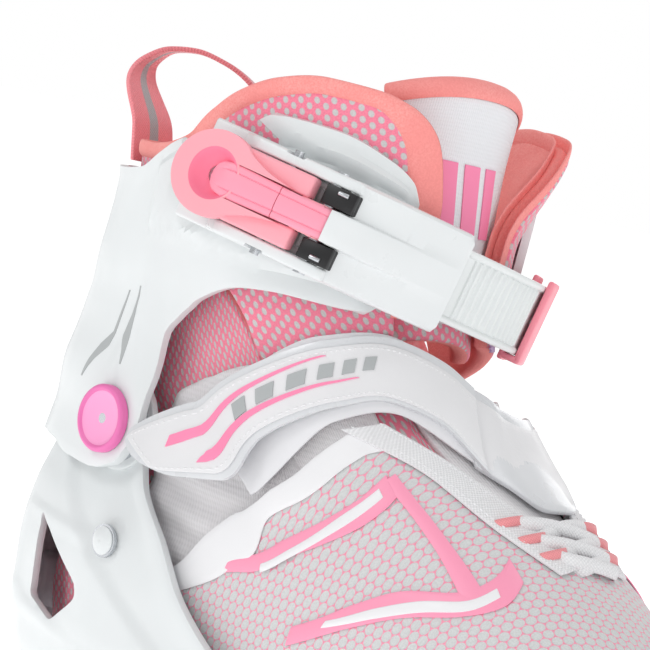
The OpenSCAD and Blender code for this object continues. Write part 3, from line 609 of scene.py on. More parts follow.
# ---- Frame of the buckle: its strap runs on an arc about STRAP_C ----
STRAP_R = 59.0
STRAP = (Matrix.Translation(Vector((-8, 2, 223)) * MM) @ Matrix.Rotation(math.radians(7), 4, "Y")
         @ Matrix.Rotation(math.radians(-10), 4, "X") @ Matrix.Rotation(math.radians(18.5), 4, "Z"))
BUCKLE = STRAP @ Matrix.Translation((0, -STRAP_R * MM, 0))
STRAP_INV = STRAP.inverted()


def on_arc(angle, radius, z):
    """Point about the strap's arc, in millimetres of the object's frame."""
    a = math.radians(angle - 90)
    return (STRAP @ Vector((radius * math.cos(a) * MM, radius * math.sin(a) * MM, z * MM))) / MM


def about_arc(point):
    """(angle, radius, z) of a point about the strap's arc."""
    p = (STRAP_INV @ (point * MM)) / MM
    return math.degrees(math.atan2(p.x, -p.y)), math.hypot(p.x, p.y), p.z


def pressed(point, limit, half, f0, f1):
    """Holds a point inside a radius about the strap's arc, where a part of the buckle is seated."""
    f, r, z = about_arc(point)
    beyond = max(abs(z) - half, f0 - f, f - f1, 0)
    limit += 0.9 * beyond
    if r > limit and beyond < 9:
        return on_arc(f, limit, z)
    return point


# ---- Cuff ----
CUFF_HIGH = curve([(26, 240), (29, 246), (37, 251), (53, 256), (68, 257), (85, 252), (95, 245),
                   (104, 237), (112, 231), (130, 229), (180, 229)])
CUFF_LOW = curve([(26, 228), (28, 216), (31, 209.5), (36.5, 205), (48, 204), (60, 204),
                  (74, 202.5), (87, 195), (92, 187), (94.5, 182), (96.5, 168), (99.2, 157),
                  (103.5, 146), (108.4, 137), (115, 133.5), (125, 133.5), (135, 136), (180, 136)])
CUFF_OFF = curve([(134, 12.6), (142, 12), (150, 10.6), (165, 8), (180, 6), (200, 5), (260, 5)])
WING_CUT = 14
CUFF_COLUMNS = column_list((26, 32, 0.75), (32, 86, 1.8), (86, 112, 0.7), (112, 180, 2.4))
ARC = 0.9


def side_angle(a):
    return 360 - a if a > 180 else a


def near_line(a, z, a0, z0, a1, z1):
    """Signed distance in millimetres to a line on the surface."""
    dx, dz = (a1 - a0) * ARC, z1 - z0
    px, pz = (a - a0) * ARC, z - z0
    length = math.hypot(dx, dz)
    return (dx * pz - dz * px) / length


def cuff_relief(a, z, outer):
    """Height of the moulded forms over the cuff's plain surface."""
    if not outer:
        return 0.0
    rise = 0.0
    # Soft platform under the buckle
    edge = min((a - 30) * ARC, (103 - a) * ARC, z - 211 - 0.1 * max(a - 72, 0),
               CUFF_HIGH(a) - 4 - z)
    rise += 1.9 * smooth(edge, -1.2, 1.8)
    # Spine facets behind the wing
    rise += 1.9 * smooth(a, 94, 101) * smooth(z, 142, 165)
    # Ear: a raised border round the pivot and a step to the spine
    across = near_line(a, z, 100, 196, 118, 138)
    rise -= 0.9 * smooth(across, -1.2, 1.6) * smooth(200 - z, 0, 12) * (a < 150)
    # Rolled rim along the top
    rise += 0.5 * smooth(3.2 - (CUFF_HIGH(a) - z), 0, 2)
    return rise


def cuff_place(inner_side):
    def place(u, v):
        k = (1 - u if inner_side < 0 else u) * (len(CUFF_COLUMNS) - 1)
        a = CUFF_COLUMNS[round(k)]
        z = lerp(CUFF_LOW(a), CUFF_HIGH(a), v)
        turn = a
        if inner_side > 0 and a < 62:
            turn = 26 + WING_CUT + (a - 26) * (36 - WING_CUT) / 36
        point = skin(turn * (1 if inner_side > 0 else -1), z,
                     CUFF_OFF(z) - 0.6 + cuff_relief(a, z, inner_side < 0 or a > 86))
        if inner_side < 0:
            point = pressed(point, STRAP_R - 2.5, 17.2, -36, 57)
        else:
            point = pressed(point, STRAP_R - 2.3, 17, 62, 128)
        if abs(point.y) > 54 and math.hypot(point.x + 45, z - 150) < 12:
            point.y = math.copysign(54.9, point.y)
        return point
    return place


half_cols = len(CUFF_COLUMNS) - 1
cuff = joined("cuff_moulding", grid("cuff_outer_side", half_cols, 26, cuff_place(-1)),
              grid("cuff_inner_side", half_cols, 26, cuff_place(1)))
edit(cuff, weld)
wall(cuff, 2.8)
rounded(cuff, 0.7, 3, 50)
dress(cuff, "cuff", "cuff", "white_plastic", "cuff", angle=30)


def cuff_patch(name, rows):
    """A thin printed shape: rows of (rear angle, front angle, height), from its foot up."""
    def place(u, v):
        steps = (len(rows) - 1) * u
        i = min(int(steps), len(rows) - 2)
        rear, front, z = [lerp(a, b, steps - i) for a, b in zip(rows[i], rows[i + 1])]
        t = lerp(rear, front, v)
        return skin(-t, z, CUFF_OFF(z) - 0.45 + cuff_relief(t, z, True))
    patch = grid(name, 8 * (len(rows) - 1), 4, place)
    return apply_modifier(patch, "SOLIDIFY", thickness=0.25 * MM, offset=1.0)


emblem = joined("cuff_emblem",
                cuff_patch("blade_rear", [(122.4, 121.9, 159.5), (119.3, 117.2, 166),
                                          (115.4, 111.8, 172), (110.8, 109.8, 177),
                                          (106.7, 106.2, 191.5)]),
                cuff_patch("blade_front", [(105.5, 105.1, 168), (105.5, 104.3, 172.5),
                                           (106.2, 103.4, 177), (103.6, 102.3, 184.5),
                                           (102.3, 101.9, 194)]))
dress(emblem, "print_grey", "cuff", "white_plastic")

# ---- Pink pivot caps: a dished face in a thin rim ----
CAP = [(0, 1.35), (5, 1.5), (7.6, 1.9), (8.8, 2.25), (9.3, 2.95), (9.9, 3.05), (10.6, 2.75),
       (11, 2.1), (11, 0.1)]
for side, word in ((-1, "outer"), (1, "inner")):
    cap = lathe("pivot_cap_" + word, CAP, (-45, side * 55, 150), (0, side, 0))
    dress(cap, ["cap", "cap_rim"], "cuff", "pink_plastic", "pivot_caps", angle=0)
    for face in cap.data.polygons:
        face.material_index = int(math.hypot(face.center.x + 0.045, face.center.z - 0.15) > 0.0089)

# ---- Shell ----
SHELL_OFF = curve([(54, 6), (70, 8), (85, 9), (100, 9), (120, 8), (130, 6.5), (142, 4.6),
                   (170, 4.6)])
SHELL_EDGE = curve([(54, 76), (70, 80), (85, 88), (105, 95), (120, 99), (134, 105), (150, 108)])


def shell_place(u, v):
    z = lerp(61.7, 144, v)
    edge = SHELL_EDGE(z)
    a = edge + u * (360 - 2 * edge)
    s = side_angle(a)
    rise = 0.0
    # Diagonal facet from behind the ear to the front edge, and one under the window
    across = near_line(s, z, 132, 134, 96, 84)
    rise += 1.5 * smooth(across, -1.6, 1.6) - 0.6
    across = near_line(s, z, 140, 84, 112, 76)
    rise -= 0.8 * smooth(-across, -1.5, 1.5) * smooth(150 - s, 0, 10)
    # Folded-out front lip
    rise += 0.7 * smooth(4 - (s - edge) * ARC, 0, 3)
    # Frame of the window
    ring = max(abs((s - 129) * ARC + (z - 95) * 0.12) - 14, abs(z - 95) - 16)
    rise += 0.5 * (smooth(ring, -3, -1) - smooth(ring, 1.5, 3.5))
    point = skin(a, z, SHELL_OFF(z) - 0.3 + rise)
    from_rivet = math.hypot(point.x + 32, z - 113)
    if from_rivet < 7:
        point.y = math.copysign(lerp(54.6, abs(point.y), smooth(from_rivet, 4, 7)), point.y)
    return point


shell = grid("heel_shell", 150, 52, shell_place)
wall(shell, 2.7)
WINDOW = [(-77, 112), (-74.5, 84), (-56, 80), (-42, 91), (-43, 95)]
window = prism("window_tool", WINDOW, -80, 80)
rounded(window, 2.2, 4)
edit(window, outwards)
placed(window, Matrix.Rotation(math.radians(90), 4, "X"))
cut(shell, window)
rounded(shell, 0.6, 2, 55)
dress(shell, "shell", "skate", "white_plastic", "base_shell", angle=32)
for side, word in ((-1, "outer"), (1, "inner")):
    ear = drum("shell_ear_" + word, (-45, side * 47.7, 150), (0, side, 0), 16, 1.25, 0.5)
    dress(ear, "shell", "skate", "white_plastic", "base_shell")
bumper = block("heel_bumper_pad", (-118, -15, 67), (-107, 15, 91), 4, 4)
dress(bumper, "sole", "skate", "white_plastic", "heel_bumper")


# ---- Soft goods: shared shaping ----
def pad_wall(piece, thick):
    """Gives a padded piece its thickness; its inner face and edges take the second finish."""
    piece.data.materials.append(None)
    piece.data.materials.append(None)
    return apply_modifier(piece, "SOLIDIFY", thickness=thick * MM, offset=-1.0,
                          use_quality_normals=True, material_offset=1, material_offset_rim=1)


def puffed(piece, cap, pressure=4.0, frames=20):
    """Fills a closed padded piece by a short cloth simulation; no point moves more than cap mm."""
    before = [v.co.copy() for v in piece.data.vertices]
    alone(piece)
    mod = piece.modifiers.new("fill", "CLOTH")
    mod.settings.quality = 5
    mod.settings.mass = 0.3
    mod.settings.tension_stiffness = 15
    mod.settings.compression_stiffness = 15
    mod.settings.bending_stiffness = 0.5
    mod.settings.use_pressure = True
    mod.settings.uniform_pressure_force = pressure
    mod.settings.effector_weights.gravity = 0
    mod.collision_settings.use_collision = False
    for frame_number in range(1, frames + 1):
        bpy.context.scene.frame_set(frame_number)
    bpy.ops.object.modifier_apply(modifier=mod.name)
    bpy.context.scene.frame_set(1)
    for vertex, start in zip(piece.data.vertices, before):
        move = vertex.co - start
        if move.length > cap * MM:
            vertex.co = start + move.normalized() * cap * MM
    return piece


def sweep(name, path, section, steps):
    """Draws a section [(across, out), ...] along path(t) -> (point, across, out) in millimetres."""
    def place(u, v):
        point, across, out = path(u)
        side, rise = section[round(v * (len(section) - 1))]
        return point + across * side + out * rise
    return grid(name, steps, len(section) - 1, place)


def through(rows):
    """Smooth curve through rows of numbers, by share of the way from 0 to 1."""
    n = len(rows) - 1
    tracks = [curve([(i / n, row[c]) for i, row in enumerate(rows)]) for c in range(len(rows[0]))]
    return lambda t: [track(t) for track in tracks]


# ---- Padded collar ----
COLLAR_BACK = [(62, 267), (73, 264.2), (84, 258), (92, 249), (99, 241), (109, 236.5), (122, 235),
               (180, 235)]
COLLAR_HIGH = curve([(26, 236), (31, 256), (38, 264), (46, 267)] + COLLAR_BACK)
FLAP_HIGH = curve([(20, 228), (25, 243), (32, 254.5), (42, 262.5), (52, 266)] + COLLAR_BACK)


def split_z(x, r, slope):
    k = math.radians(slope)
    if x > -45 + r * math.cos(k):
        return 150 + (x + 45) * math.tan(k)
    return 150 + math.sqrt(max(r * r - (x + 45) ** 2, 0))


def split_at(a, r, slope, off):
    z = 190
    for _ in range(5):
        z = split_z(skin(a, z, off).x, r, slope)
    return z


def collar_low(a):
    return split_at(a, 59.8, 30, -2.2)


def collar_off(a, z):
    """a is from -180 to 180. The inner flap opens outwards towards its rim."""
    off = lean_out(z)
    if a > 0:
        off += 7.0 * smooth(z, 232, 268) * (1 - smooth(a, 50, 95))
    # Soft swells and tucks of the padding
    off += 0.7 * math.sin(a * 0.21 + z * 0.05) * math.sin(z * 0.11) * smooth(z, 205, 225)
    return off


LATERAL = [-a for a in column_list((26, 110, 1.4), (110, 180, 3.5))[::-1]]
MEDIAL = column_list((20, 110, 1.5), (110, 180, 3.5))


def collar_side(columns, name):
    def place(u, v):
        a = columns[round(u * (len(columns) - 1))]
        high = FLAP_HIGH if a > 0 else COLLAR_HIGH
        z = lerp(collar_low(abs(a)), high(abs(a)) + 0.5, v)
        return skin(a, z, collar_off(a if abs(a) < 180 else 0, z))
    return grid(name, len(columns) - 1, 30, place, upright=True)


collar = joined("collar_padding", collar_side(LATERAL, "collar_outer"),
                collar_side(MEDIAL, "collar_inner"))
edit(collar, weld)
pad_wall(collar, 5.6)
puffed(collar, 0.8)
finer(collar)
dress(collar, ["net", "fleece"], "cuff", "pink_mesh", "collar_liner", angle=0)

EDGE = ([(-26, 204), (-26, 215), (-26, 227), (-26.4, 238), (-28, 246), (-31, 255.5), (-38, 263.5),
         (-46, 267), (-60, 267.5), (-73, 264.4), (-84, 258), (-92, 249), (-99, 241), (-109, 236.5),
         (-122, 235.2), (-150, 235), (-180, 235)])
FLAP_EDGE = [(20, 204), (20, 214), (20.2, 223), (21, 231), (22.8, 237.5), (25.5, 243.5), (32, 254),
             (42, 262), (52, 265.6), (62, 266.6), (73, 264), (84, 258), (92, 249), (99, 241),
             (109, 236.5), (122, 235.2), (150, 235)]
EDGE_PATH = through(EDGE + [(a - 360, z) for a, z in FLAP_EDGE[::-1]])
BINDING = [(3.5, -9.5), (3.8, -5), (3.6, -1), (2.8, 1.6), (1.2, 2.8), (-1.2, 2.8), (-2.8, 1.6),
           (-3.6, -1), (-3.8, -5), (-3.5, -9.5)]


def on_collar(t):
    a, z = EDGE_PATH(min(max(t, 0), 1))
    a = a if a > -180 else a + 360
    return skin(a, z, collar_off(a if abs(a) < 180 else 0, z) - 2.8)


def binding_path(t):
    d = 0.002
    point = on_collar(t)
    along = (on_collar(t + d) - on_collar(t - d)).normalized()
    a, z = EDGE_PATH(t)
    out = skin(a, z, 5) - skin(a, z, 0)
    out = (out - along * out.dot(along)).normalized()
    # Wide down the front edge of the outer side, narrow over the top and the back
    side = a if a > -180 else a + 360
    front = (1 - smooth(abs(side), 29, 46)) if side < 0 else 0.1
    across = 1 if side < 0 else lerp(0.62, 1, smooth(side, 60, 90))
    return point, out * across, out.cross(along).normalized() * lerp(0.42, 0.95, front)


binding = sweep("collar_edge_binding", binding_path, BINDING, 260)
wall(binding, 0.9, 1.0)
finer(binding)
dress(binding, "fleece", "cuff", "coral_lining", "collar_binding", angle=0)


# ---- Upper tongue, its white face and its edge ----
def tongue_top_z(a):
    return 278.5 - 7.5 * (abs(a) / 42) ** 2


def tongue_off(z):
    return -7.6 - max(z - 205, 0) * 0.06 - 2.2 * min(max((222 - z) / 20, 0), 1)


def tongue_place(off, half, low, high):
    def place(u, v):
        a = lerp(-half, half, u)
        z = lerp(low(a), high(a), v)
        swell = 0.8 * math.sin(math.pi * u) * math.sin(math.pi * v)
        return skin(a, z, tongue_off(z) + off + swell)
    return place


tongue = grid("tongue_padding", 46, 40, tongue_place(
    0, 42, lambda a: split_at(a, 59.8, 30, -9), tongue_top_z), upright=True)
pad_wall(tongue, 5.8)
puffed(tongue, 0.8)
finer(tongue)
dress(tongue, ["net", "fleece"], "cuff", "pink_mesh", "tongue_upper", angle=0)

face = grid("tongue_front", 48, 44, tongue_place(
    0.5, 38, lambda a: 205 + 0.012 * a * a, lambda a: tongue_top_z(a) - 2.6))
wall(face, 0.9, 1.0)
rounded(face, 0.3, 2)
dress(face, "lycra", "cuff", "white_synthetic", "tongue_face")


for i in range(3):
    def bar(u, v, i=i):
        a = lerp(-15 + 10.5 * i, -8 + 10.5 * i, v) + 3.5 * (u - 0.5)
        z = lerp(233, 255, u)
        swell = 0.8 * math.sin(math.pi * (a + 42) / 84) * math.sin(math.pi * (z - 200) / 78)
        return skin(-a, z, tongue_off(z) + 1.5 + swell)
    patch = grid("tongue_bar_%d" % (i + 1), 16, 5, bar)
    wall(patch, 0.35, 1.0)
    dress(patch, "print_pink", "cuff", "pink_plastic")


def tongue_rim(t):
    a = lerp(-43, 43, t)
    z = tongue_top_z(a)
    point = skin(a, z, tongue_off(z) - 2.6)
    along = (skin(a + 1, tongue_top_z(a + 1), 0) - skin(a - 1, tongue_top_z(a - 1), 0)).normalized()
    out = skin(a, z, 5) - skin(a, z, 0)
    out = (out - along * out.dot(along)).normalized()
    return point, out, out.cross(along).normalized()


TONGUE_EDGE = [(3.9, -2.8), (4.1, -1.2), (3.8, 0.3), (2.7, 1.9), (0, 2.6), (-2.7, 1.9),
               (-3.8, 0.3), (-4.1, -1.2), (-3.9, -2.8)]
tongue_edge = sweep("tongue_edge_binding", tongue_rim, TONGUE_EDGE, 60)
wall(tongue_edge, 0.9, 1.0)
finer(tongue_edge)
dress(tongue_edge, "fleece", "cuff", "coral_lining", "tongue_top", angle=0)

# ---- Lilac tape with a pinked edge on the inner flap ----
def tape_place(u, v):
    z = lerp(199, 226, u)
    zigzag = 0.9 * (1 if round(u * 44) % 2 else 0)
    return skin(lerp(19.4 + zigzag, 27, v), z, collar_off(24, z) + 0.5)


tape = grid("pinked_tape", 44, 3, tape_place)
edit(tape, outwards)
wall(tape, 0.6, 1.0)
dress(tape, "tape", "cuff", "lilac_tape", "medial_flap_tape")

# ---- Pull loop: folded webbing with a grey centre stripe ----
# Rows of the middle's x, y, z and half of the width as a vector
LOOP = [(-94.5, -17, 231, 0, 9, 0), (-96.5, -18.3, 243, -0.4, 9, 0),
        (-103, -18.5, 252, -1.5, 8.8, 0), (-110, -16.5, 259, -3, 8.4, 0),
        (-113.5, -11, 265.5, -4.6, 7.6, 0), (-113, -3, 270.5, -5.8, 6.8, 0),
        (-109, 6, 272, -6.4, 6.3, 0), (-103, 14, 270, -6.4, 6.3, 0),
        (-97.5, 22, 265.5, -6.2, 6.5, 0), (-92.5, 27.5, 258, -5.4, 7.2, 0),
        (-88, 31, 247, -4.6, 7.6, 0), (-87, 32, 231, -4.2, 7.8, 0)]
LOOP_PATH = through(LOOP)


def loop_place(u, v):
    row = LOOP_PATH(v)
    return Vector(row[:3]) + Vector(row[3:]) * lerp(1, -1, u)


loop = grid("pull_loop_webbing", 18, 90, loop_place)
for index, face in enumerate(loop.data.polygons):
    face.material_index = int(7 <= index % 18 <= 10)
loop.data.materials.append(None)
loop.data.materials.append(None)
wall(loop, 1.7, 0.0)
rounded(loop, 0.4, 2)
dress(loop, ["loop", "loop_grey"], "cuff", "pink_webbing", "pull_loop", angle=0)


# ---- Instep strap: free outer end, and inner part riveted to the shell ----
OUTER_STRAP = through([(-98, 139, -104, 147), (-90, 144, -95, 158), (-76, 161, -78, 176),
                       (-52, 175, -50, 193), (-35, 180, -30, 198), (-19, 176, -12, 194),
                       (-13, 166, -2, 188)])
INNER_STRAP = through([(-15.5, 167, -4.5, 189), (-8, 163.5, 3, 186), (1, 159, 8, 183),
                       (13, 159, 18, 181), (27, 163, 30, 180.5), (40, 165, 40, 180),
                       (52, 162, 50, 177), (74, 151, 76, 166), (83, 138, 86, 151),
                       (92, 126, 95, 138), (98, 114, 104, 124), (106, 106, 113, 118)])


def outer_strap_off(u):
    return 1.7 + 11.2 * (max(0.55 - u, 0) / 0.55) ** 1.4


def inner_strap_off(u):
    return 1.7 + 7.6 * (max(u - 0.55, 0) / 0.45) ** 0.6 - 1.9 * (1 - smooth(u, 0.03, 0.13))\
        + 2.2 * smooth(u, 0.15, 0.32) * (1 - smooth(u, 0.5, 0.7))


def strap_point(u, v, lift, outer=True):
    """Point on the strap: u along it towards the toe or inner side, v from its lower edge up."""
    a0, z0, a1, z1 = (OUTER_STRAP if outer else INNER_STRAP)(u)
    if outer:
        # Rounded free end
        tip = max(0.07 - u, 0) / 0.07
        inset = 0.5 * (1 - math.sqrt(max(1 - tip * tip, 0))) * 0.9
        v = lerp(inset, 1 - inset, v)
    off = outer_strap_off(u) if outer else inner_strap_off(u)
    crown = 0.9 * (1 - (2 * v - 1) ** 2)
    return skin(lerp(a0, a1, v), lerp(z0, z1, v), off + crown + lift)


def strap_band(name, u0, u1, v0, v1, lift, cols, rows, outer=True):
    return grid(name, cols, rows, lambda u, v: strap_point(lerp(u0, u1, u), lerp(v0, v1, v), lift,
                                                          outer))


def strap_print(name, corners):
    """A flat patch on the strap between four (u, v) corners."""
    (a, b, c, d) = corners

    def place(u, v):
        low = (lerp(a[0], b[0], u), lerp(a[1], b[1], u))
        high = (lerp(d[0], c[0], u), lerp(d[1], c[1], u))
        return strap_point(lerp(low[0], high[0], v), lerp(low[1], high[1], v), 2.34)
    return wall(grid(name, 26, 4, place), 0.35, 1.0)


body = strap_band("strap_body", 0, 1, 0, 1, 0, 120, 12)
wall(body, 1.6, 1.0)
rounded(body, 0.5, 3)
dress(body, "strap_edge", "strap_flap", "strap_synthetic", "instep_strap_flap", angle=35)
panel = strap_band("strap_panel", 0.03, 1, 0.09, 0.91, 1.62, 110, 10)
wall(panel, 0.7, 1.0)
rounded(panel, 0.35, 3)
dress(panel, "strap", "strap_flap", "strap_synthetic", angle=35)
inner = strap_band("strap_inner_body", -0.004, 1, 0, 1, 0, 110, 12, False)
wall(inner, 1.6, 1.0)
rounded(inner, 0.5, 3)
dress(inner, "strap_edge", "skate", "strap_synthetic", "instep_strap", angle=35)
inner_panel = strap_band("strap_inner_panel", 0, 0.97, 0.09, 0.91, 1.62, 100, 10, False)
wall(inner_panel, 0.7, 1.0)
rounded(inner_panel, 0.35, 3)
dress(inner_panel, "strap", "skate", "strap_synthetic", angle=35)


def stitches(name, line, count, body, slot="strap_synthetic", length=0.62, radius=0.28):
    """A row of short rounded stitches along line(t), in millimetres."""
    alone()
    bpy.ops.mesh.primitive_uv_sphere_add(segments=8, ring_count=6, radius=1)
    seed = made(name)
    mesh = bmesh.new()
    for i in range(count):
        t0, t1 = (i + 0.5 - length / 2) / count, (i + 0.5 + length / 2) / count
        p, q = line(t0), line(t1)
        turn = Vector((0, 0, 1)).rotation_difference((q - p).normalized()).to_matrix().to_4x4()
        size = Matrix.Diagonal((radius * MM, radius * MM, (q - p).length * 0.5 * MM, 1))
        part = seed.data.copy()
        part.transform(Matrix.Translation((p + q) * 0.5 * MM) @ turn @ size)
        mesh.from_mesh(part)
        bpy.data.meshes.remove(part)
    mesh.to_mesh(seed.data)
    mesh.free()
    dress(seed, "thread", body, slot, angle=0)


for v, word in ((0.15, "low"), (0.85, "high")):
    stitches("strap_stitching_" + word,
             lambda t, v=v: strap_point(lerp(0.05, 0.99, t), v, 2.35), 62, "strap_flap")
    stitches("strap_inner_stitching_" + word,
             lambda t, v=v: strap_point(lerp(0.0, 0.95, t), v, 2.35, False), 50, "skate")
stitches("strap_stitching_tip", lambda t: strap_point(0.05, lerp(0.2, 0.8, t), 2.35), 6,
         "strap_flap")

# Two pink blades, and plain grey bars between them
blades = []
for i, (tip_u, tip_v, end_u, end_v, half) in enumerate((
        (0.13, 0.50, 0.50, 0.79, 0.075), (0.17, 0.24, 0.58, 0.39, 0.065))):
    blades.append(strap_print("strap_blade_%d" % i, [(tip_u, tip_v), (end_u, end_v),
                                                     (end_u - 0.01, end_v + 0.012),
                                                     (tip_u + 0.03, tip_v + 2 * half)]))
marks = joined("strap_blades", *blades)
dress(marks, "print_pink", "strap_flap", "pink_plastic")
bars = []
for i in range(6):
    u = 0.30 + 0.058 * i
    v = 0.50 + 0.02 * i
    bars.append(strap_print("strap_bar_%d" % i, [(u, v - 0.11), (u + 0.034, v - 0.10),
                                                  (u + 0.044, v + 0.11), (u + 0.01, v + 0.10)]))
marks = joined("strap_bars", *bars)
dress(marks, "print_grey", "strap_flap", "strap_synthetic")

# Pad under the strap
PAD = through([(-88, 142, -92, 162), (-74, 156, -76, 178), (-54, 171, -52, 194),
               (-34, 177, -30, 199), (-14, 168, -4, 189)])


def pad_place(u, v):
    a0, z0, a1, z1 = PAD(u)
    return skin(lerp(a0, a1, v), lerp(z0, z1, v), 0.4 + 0.8 * math.sin(math.pi * v))


pad = grid("strap_pad", 80, 10, pad_place)
wall(pad, 0.8, 1.0)
rounded(pad, 0.3, 2)
dress(pad, "pad", "skate", "loop_fabric", "loop_pad", angle=0)

# ---- Gusset, lower tongue and foot liner ----
GUSSET_HIGH = curve([(40, 178), (60, 182), (75, 180), (90, 172), (100, 160), (108, 146)])


def gusset_place(side):
    def place(u, v):
        a = lerp(-109, -41, u) if side < 0 else lerp(41, 109, u)
        top = min(GUSSET_HIGH(abs(a)), split_at(abs(a), 58, 20, -2.6) - 2)
        z = lerp(106, top, v)
        fold = 0.8 * math.sin(z * 0.5 + a * 0.12) * smooth(abs(a), 60, 95)
        return skin(a, z, -2.6 + fold)
    return place


for side, word in ((-1, "outer"), (1, "inner")):
    gusset = grid("gusset_" + word, 60, 40, gusset_place(side), upright=True)
    wall(gusset, 1.2)
    dress(gusset, "knit", "skate", "white_knit", "gusset", angle=0)

TONGUE_LOW = through([(-7, 144, 7, 144), (-12.5, 149.5, 12.5, 149.5), (-18.5, 158, 18.5, 158),
                      (-23.5, 168, 23.5, 168), (-27.5, 178, 27.5, 178), (-28.5, 185, 28.5, 185)])


def low_tongue_place(u, v):
    a0, z0, a1, z1 = TONGUE_LOW(v)
    return skin(lerp(a0, a1, u), lerp(z0, z1, u), -3 + 0.8 * math.sin(math.pi * u))


low_tongue = grid("tongue_lower_padding", 24, 30, low_tongue_place)
wall(low_tongue, 4.8)
finer(low_tongue)
dress(low_tongue, "knit", "skate", "white_synthetic", "tongue_lower", angle=0)

THROAT = curve([(0, 143), (8, 143), (14, 149), (20, 158), (25, 168), (29, 178), (30.5, 190),
                (31, 230)])
LINER_COLUMNS = column_list((-180, -36, 4), (-36, 36, 1.5), (36, 180, 4))


def liner_place(u, v):
    a = LINER_COLUMNS[round(u * (len(LINER_COLUMNS) - 1))]
    top = min(THROAT(abs(a)), split_at(abs(a), 58, 20, -4.6))
    z = lerp(70.5, top, v)
    return skin(a, z, -4.8 + 0.5 * math.sin(a * 0.3) * math.sin(z * 0.2))


liner = grid("foot_lining", len(LINER_COLUMNS) - 1, 36, liner_place, closed=True, upright=True)
pad_wall(liner, 4.4)
dress(liner, ["net", "lining"], "skate", "pink_mesh", "foot_liner", angle=0)
board = prism("insole_board", [skin(a, 72, -7.2).xy for a in range(0, 360, 5)], 70.2, 74.2)
dress(board, "lining", "skate", "footbed_fabric")

# ---- Vamp: open net with welded film bands ----
VAMP_HIGH = curve([(0, 147), (13, 157), (26, 166), (40, 172), (48, 170), (57, 165), (73, 153),
                   (88, 139), (94, 126), (98, 114), (104, 104)])


def vamp_map(p):
    """Unrolled place on the forefoot in metres: along it, and round it from the top."""
    return (p.x * 1.12 - p.z * 0.25) * MM, math.atan2(p.y, p.z - 95) * 52 * MM


def vamp_point(a, z, lift=0.0):
    return skin(a, z, 1.0 + lift)


def vamp_place(u, v):
    a = lerp(-104, 104, u)
    return vamp_point(a, lerp(67.4, VAMP_HIGH(abs(a)), v))


vamp = grid("vamp_net", 130, 46, vamp_place, fan=vamp_map)
wall(vamp, 1.5)
dress(vamp, "vamp_net", "forefoot", "vamp_mesh", "vamp", angle=0)


def film(name, rows, lift, finish, slot="pink_plastic", cols=60, across=6, thick=0.5):
    """A welded film band: rows of (edge angle, edge height, other angle, other height)."""
    path = through(rows)

    def place(u, v):
        a0, z0, a1, z1 = path(u)
        dome = 0.25 * math.sin(math.pi * v)
        return vamp_point(lerp(a0, a1, v), lerp(z0, z1, v), lift + dome)
    band = grid(name, cols, across, place)
    wall(band, thick, 1.0)
    rounded(band, 0.22, 2)
    dress(band, finish, "forefoot", slot, angle=35)
    return band


# Rear border of the vamp
def border_place(side):
    def place(u, v):
        a = lerp(103.6, 41, u if side < 0 else 1 - u)
        high = VAMP_HIGH(a)
        return vamp_point(side * (a - 5 * (1 - v) * smooth(a, 84, 96)),
                          lerp(high - 5 * (1 - smooth(a, 88, 98)), high + 0.4, v),
                          0.15 + 0.3 * math.sin(math.pi * v))
    return place


for side, word in ((-1, "outer"), (1, "inner")):
    border = grid("vamp_rear_border_" + word, 90, 6, border_place(side))
    wall(border, 0.6, 1.0)
    rounded(border, 0.25, 2)
    dress(border, "film_white", "forefoot", "white_synthetic", angle=35)

# Pink bands with white cores over the net, on both sides
BANDS = [
    ("vamp_band_upper", [(-92, 117, -91, 123), (-84, 127, -82.5, 133), (-73, 137, -71, 143.5),
                         (-60, 147, -58, 153), (-49, 155, -48, 160)]),
    ("vamp_band_middle", [(-84, 104, -83, 110), (-73, 116, -71, 123), (-62, 124, -60, 131),
                          (-50, 129, -48, 135), (-38, 135, -37, 141), (-29, 142, -28, 147)]),
    ("vamp_band_post", [(-50, 158, -45, 161), (-48.5, 151, -43.5, 153), (-48, 143, -42.5, 144),
                        (-48, 134, -41.5, 135)]),
]
CORES = [
    ("vamp_core_upper", [(-88, 121.5, -87.7, 124), (-80, 131, -79, 134), (-70, 141, -69, 144),
                         (-60, 149, -59, 151.6), (-53, 154, -52.5, 156)]),
    ("vamp_core_middle", [(-78, 113, -77, 115.5), (-68, 121, -67, 124), (-58, 127, -57, 130),
                          (-48, 131, -47, 133.6), (-38, 137, -37.6, 139)]),
]


def both(name, rows, lift, finish, slot="pink_plastic", **extra):
    film(name + "_outer", rows, lift, finish, slot, **extra)
    film(name + "_inner", [(-a, b, -c, d) for a, b, c, d in rows][::-1], lift, finish, slot,
         **extra)


for name, rows in BANDS:
    both(name, rows, 0.15, "film")
for name, rows in CORES:
    both(name, rows, 0.75, "film_white", "white_synthetic", thick=0.3)

# Smooth white quarter below the bands and the pink toe panel
both("vamp_quarter", [(-83, 72, -80, 100), (-70, 72, -64, 112), (-56, 74, -50, 120),
                      (-44, 80, -38, 124), (-32, 88, -27, 128)], 0.15, "film_white",
     "white_synthetic", across=12)
both("vamp_toe_band", [(-74, 80, -72, 90), (-58, 92, -55, 103), (-42, 102, -38, 113),
                       (-26, 110, -22, 121), (-12, 116, -8, 127)], 0.8, "film", across=8)

CAP_HIGH = curve([(0, 104), (20, 101), (40, 92), (50, 84), (60, 76), (72, 72)])


def cap_place(u, v):
    a = lerp(-72, 72, u)
    return skin(a, lerp(67.4, CAP_HIGH(abs(a)), v), 2.6 + 0.8 * math.sin(math.pi * min(v, 0.9)))


toe_cap = grid("toe_cap_moulding", 80, 20, cap_place)
wall(toe_cap, 1.4)
rounded(toe_cap, 0.4, 3)
dress(toe_cap, "film", "forefoot", "pink_plastic", "toe_cap", angle=35)


